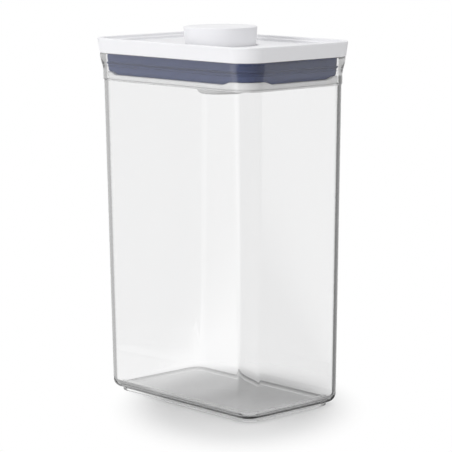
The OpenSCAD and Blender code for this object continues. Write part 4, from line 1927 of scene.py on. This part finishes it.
@dataclass(frozen=True)
class Lamp:
    """Soft round lamp.

    Args:
        name: Name of the lamp.
        place: Where it hangs, in metres.
        size: How wide it is, in metres.
        power: Its power, in watts.
        target: What it faces, in metres.
    """

    name: str
    place: Triple
    size: float
    power: float
    target: Triple = (0.0, 0.0, 0.12)

    def build(self) -> None:
        """Hangs the lamp so that it faces its target, out of sight of mirrors and clear walls."""
        data = bpy.data.lights.new(self.name, "AREA")
        data.shape = "DISK"
        data.size = self.size
        data.energy = self.power
        obj = bpy.data.objects.new(self.name, data)
        aim = Vector(self.target) - Vector(self.place)
        obj.matrix_world = Matrix.Translation(self.place) @ aim.to_track_quat("-Z", "Y").to_matrix().to_4x4()
        obj.visible_glossy = False
        obj.visible_transmission = False
        bpy.context.scene.collection.objects.link(obj)
        obj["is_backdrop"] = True


@dataclass(frozen=True)
class Studio:
    """Pale floor that runs out into a white background, with soft lamps.

    Args:
        lamps: The lamps.
        ambient: Strength of the world's even light.
        floor_colour: Colour of the floor's paper.
        paper_tone: Share by which the paper's grain darkens it.
        paper_grain: Features of that grain per metre.
        floor_glow: Strength that the paper adds for the rays that see the background.
        floor_radii: Radii of the floor's rings.
        floor_z: Height of the floor, just below the foot.
        floor_places: Places round the floor.
        shadow_place: Middle of the oval that shows the paper with its shadow, in metres.
        shadow_size: Half sizes of the oval, in metres.
        shadow_turn: Turn of the oval.
        fade: Shares of the oval's half sizes between which the paper turns white.
        painted_edge_shade: Painted shade on the edges of the clear walls, at the left and at the right of
            the picture.
        edge_shade_reach: Distance from the middle at which these two are reached, in metres.
        dark_side: Direction to the right of the picture, along which the painted shade on the walls' edges
            grows.
        mirror: Painted reflection that only mirrors show, a bright strip and a dark band: strengths of the
            floor in a mirror, as degrees from the front towards the right, and strength.
    """

    lamps: tuple[Lamp, ...] = (
        Lamp("key", (-0.27, -1.49, 0.4), size=0.9, power=11.0),
        Lamp("top", (0.1, 0.0, 1.5), size=1.0, power=6.5),
        Lamp("fill", (1.25, -0.2, 0.85), size=0.8, power=3.2),
    )
    ambient: float = 0.5
    floor_colour: Triple = (0.8, 0.8, 0.8)
    paper_tone: float = 0.01
    paper_grain: float = 900.0
    floor_glow: float = 0.08
    floor_radii: tuple[float, ...] = (0.0, 300.0, 1500.0, 9000.0)
    floor_z: float = -0.02
    floor_places: int = 64
    shadow_place: Pair = (0.0275, -0.0112)
    shadow_size: Pair = (0.088, 0.134)
    shadow_turn: float = 48.2
    fade: Pair = (0.5, 1.0)
    painted_edge_shade: Pair = (0.55, 0.84)
    edge_shade_reach: float = 0.1
    dark_side: Triple = (0.667, 0.745, 0.0)
    # Painted reflection: a bright strip and a dark band round the jar, seen only in mirrors.
    mirror: tuple[Pair, ...] = (
        (-90.0, 1.0), (-43.0, 1.0), (-34.0, 1.7), (-10.0, 1.7),
        (6.0, 0.05), (125.0, 0.05), (130.0, 0.9), (270.0, 1.0),
    )

    def build(self) -> None:
        """Builds the world, floor and lamps."""
        self.build_world()
        self.build_floor()
        for lamp in self.lamps:
            lamp.build()
        bpy.context.scene.view_settings.view_transform = "Standard"

    def build_world(self) -> None:
        """White for the rays that see the background, dimmed by painted shade for rays turned back inside a
        clear wall, and a soft even light for the rest.
        """
        world = bpy.data.worlds.new("studio")
        bpy.context.scene.world = world
        world.use_nodes = True
        nodes = Nodes(world.node_tree)
        # Painted shade: the world's white is dimmed for rays turned back inside a clear wall.
        kept = nodes.unshaded_share(sum(self.painted_edge_shade) / 2.0)
        white = nodes.math(Calc.MULTIPLY, nodes.background_rays(), kept)
        light = nodes.math(Calc.MOST, white, self.ambient)
        sky = nodes.add("ShaderNodeBackground", Color=WHITE, Strength=light)
        nodes.put(nodes.add("ShaderNodeOutputWorld").inputs["Surface"], sky.outputs[0])

    def paper(self, nodes: Nodes, seen: Socket) -> bpy.types.Node:
        """Matt paper with a fine grain and a faint glow.

        Args:
            nodes: Nodes of the floor.
            seen: 1 for the rays that see the background.

        Returns:
            The shader.
        """
        dark = tuple((1.0 - self.paper_tone) * part for part in self.floor_colour)
        colour = nodes.mix(nodes.spread(nodes.noise(self.paper_grain)), dark, self.floor_colour)
        matt = nodes.add("ShaderNodeBsdfDiffuse", Color=colour)
        glow = nodes.add(
            "ShaderNodeEmission", Color=WHITE, Strength=nodes.math(Calc.MULTIPLY, seen, self.floor_glow))
        lit = nodes.add("ShaderNodeAddShader")
        for socket, part in zip(lit.inputs, (matt, glow)):
            nodes.put(socket, part.outputs[0])
        return lit

    def white(self, nodes: Nodes, place: Socket) -> bpy.types.Node:
        """Plain white, dimmed by painted shade for rays that come out of a clear wall's edge, and with a
        painted reflection for rays off a mirror.

        The painted shade inside a wall grows along the direction to the right of the picture.

        Args:
            nodes: Nodes of the floor.
            place: Place on the floor, in metres.

        Returns:
            The shader.
        """
        across = nodes.add("ShaderNodeVectorMath", Vector=place)
        across.operation = "DOT_PRODUCT"
        across.inputs[1].default_value = self.dark_side
        reach = (-self.edge_shade_reach, self.edge_shade_reach)
        # Painted shade for the edges of the clear walls, darker towards the right of the picture.
        edge_shade_share = nodes.ramp(across.outputs["Value"], reach, self.painted_edge_shade).outputs["Result"]
        kept = nodes.math(Calc.MULTIPLY, nodes.unshaded_share(edge_shade_share), nodes.painted_reflection_light(place, self.mirror))
        return nodes.add("ShaderNodeEmission", Color=WHITE, Strength=kept)

    def whiteness(self, nodes: Nodes, place: Socket) -> Socket:
        """Share of white: a smooth step of the distance from the oval's middle, in its own half sizes.

        Args:
            nodes: Nodes of the floor.
            place: Place on the floor, in metres.

        Returns:
            The share.
        """
        oval = nodes.add(
            "ShaderNodeMapping",
            Vector=place,
            Location=(*self.shadow_place, 0.0),
            Rotation=(0.0, 0.0, math.radians(self.shadow_turn)),
            Scale=(*self.shadow_size, 1.0),
        )
        oval.vector_type = "TEXTURE"
        away = nodes.add("ShaderNodeVectorMath", Vector=oval.outputs["Vector"])
        away.operation = "LENGTH"
        step = nodes.ramp(away.outputs["Value"], self.fade)
        step.interpolation_type = "SMOOTHSTEP"
        return step.outputs["Result"]

    def build_floor(self) -> None:
        """Flat rings: paper with the shadow near the jar, plain white further out, and clear from below."""
        material, nodes, output = new_material("floor")
        place = nodes.add("ShaderNodeTexCoord").outputs["Object"]
        seen = nodes.background_rays()
        share = nodes.math(Calc.MULTIPLY, seen, self.whiteness(nodes, place))
        above = nodes.mix_shaders(share, self.paper(nodes, seen), self.white(nodes, place))
        underside = nodes.add("ShaderNodeNewGeometry").outputs["Backfacing"]
        both = nodes.mix_shaders(underside, above, nodes.add("ShaderNodeBsdfTransparent"))
        nodes.put(output.inputs["Surface"], both.outputs[0])
        path = np.array([[radius, self.floor_z] for radius in self.floor_radii])
        obj = skin("floor", carry(rows_at(ROUND, path), Outline.circle(self.floor_places)))
        if obj.data.polygons[0].normal.z < 0.0:
            obj.data.flip_normals()
        obj.data.materials.append(material)
        obj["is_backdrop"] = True


def main() -> None:
    """Builds the whole scene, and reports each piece."""
    logging.basicConfig(level=logging.INFO, format="%(name)s: %(message)s")
    lows = {name: np.array(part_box(name)[0]) / MM for name in frame["nodes"]}
    highs = {name: np.array(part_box(name)[1]) / MM for name in frame["nodes"]}
    jar_x, _, jar_z = highs["jar"]
    lid_x, lid_y, lid_z = highs["lid_cover"]
    palette = Palette()
    plan = Plan(lid_x - LID_R, lid_y - LID_R)
    arms = Arms()
    cup = SpringCup(lows["spring_cup"][2], highs["spring_cup"][2])
    works = Works(frame["nodes"])
    Jar(plan, jar_z, jar_x - plan.corner_x).build(palette)
    LidCover(plan, arms, lid_z, jar_z).build(palette)
    PushButton(highs["push_button"][2], lows["push_button"][2]).build(palette)
    Seal(plan, highs["gasket"][2], highs["gasket"][0] - plan.corner_x).build(palette)
    LidBase(plan, arms, lows["lid_base"][2], highs["lid_base"][2]).build(palette)
    cup.build(palette)
    ReturnSpring(cup.floor_z, highs["button_core"][2] - works.disc_t).build(palette)
    works.dress(palette)
    Camera().build()
    Studio().build()
    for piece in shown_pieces():
        LOG.info("%s: %d faces", piece.name, len(piece.data.polygons))


if __name__ == "__main__":
    main()
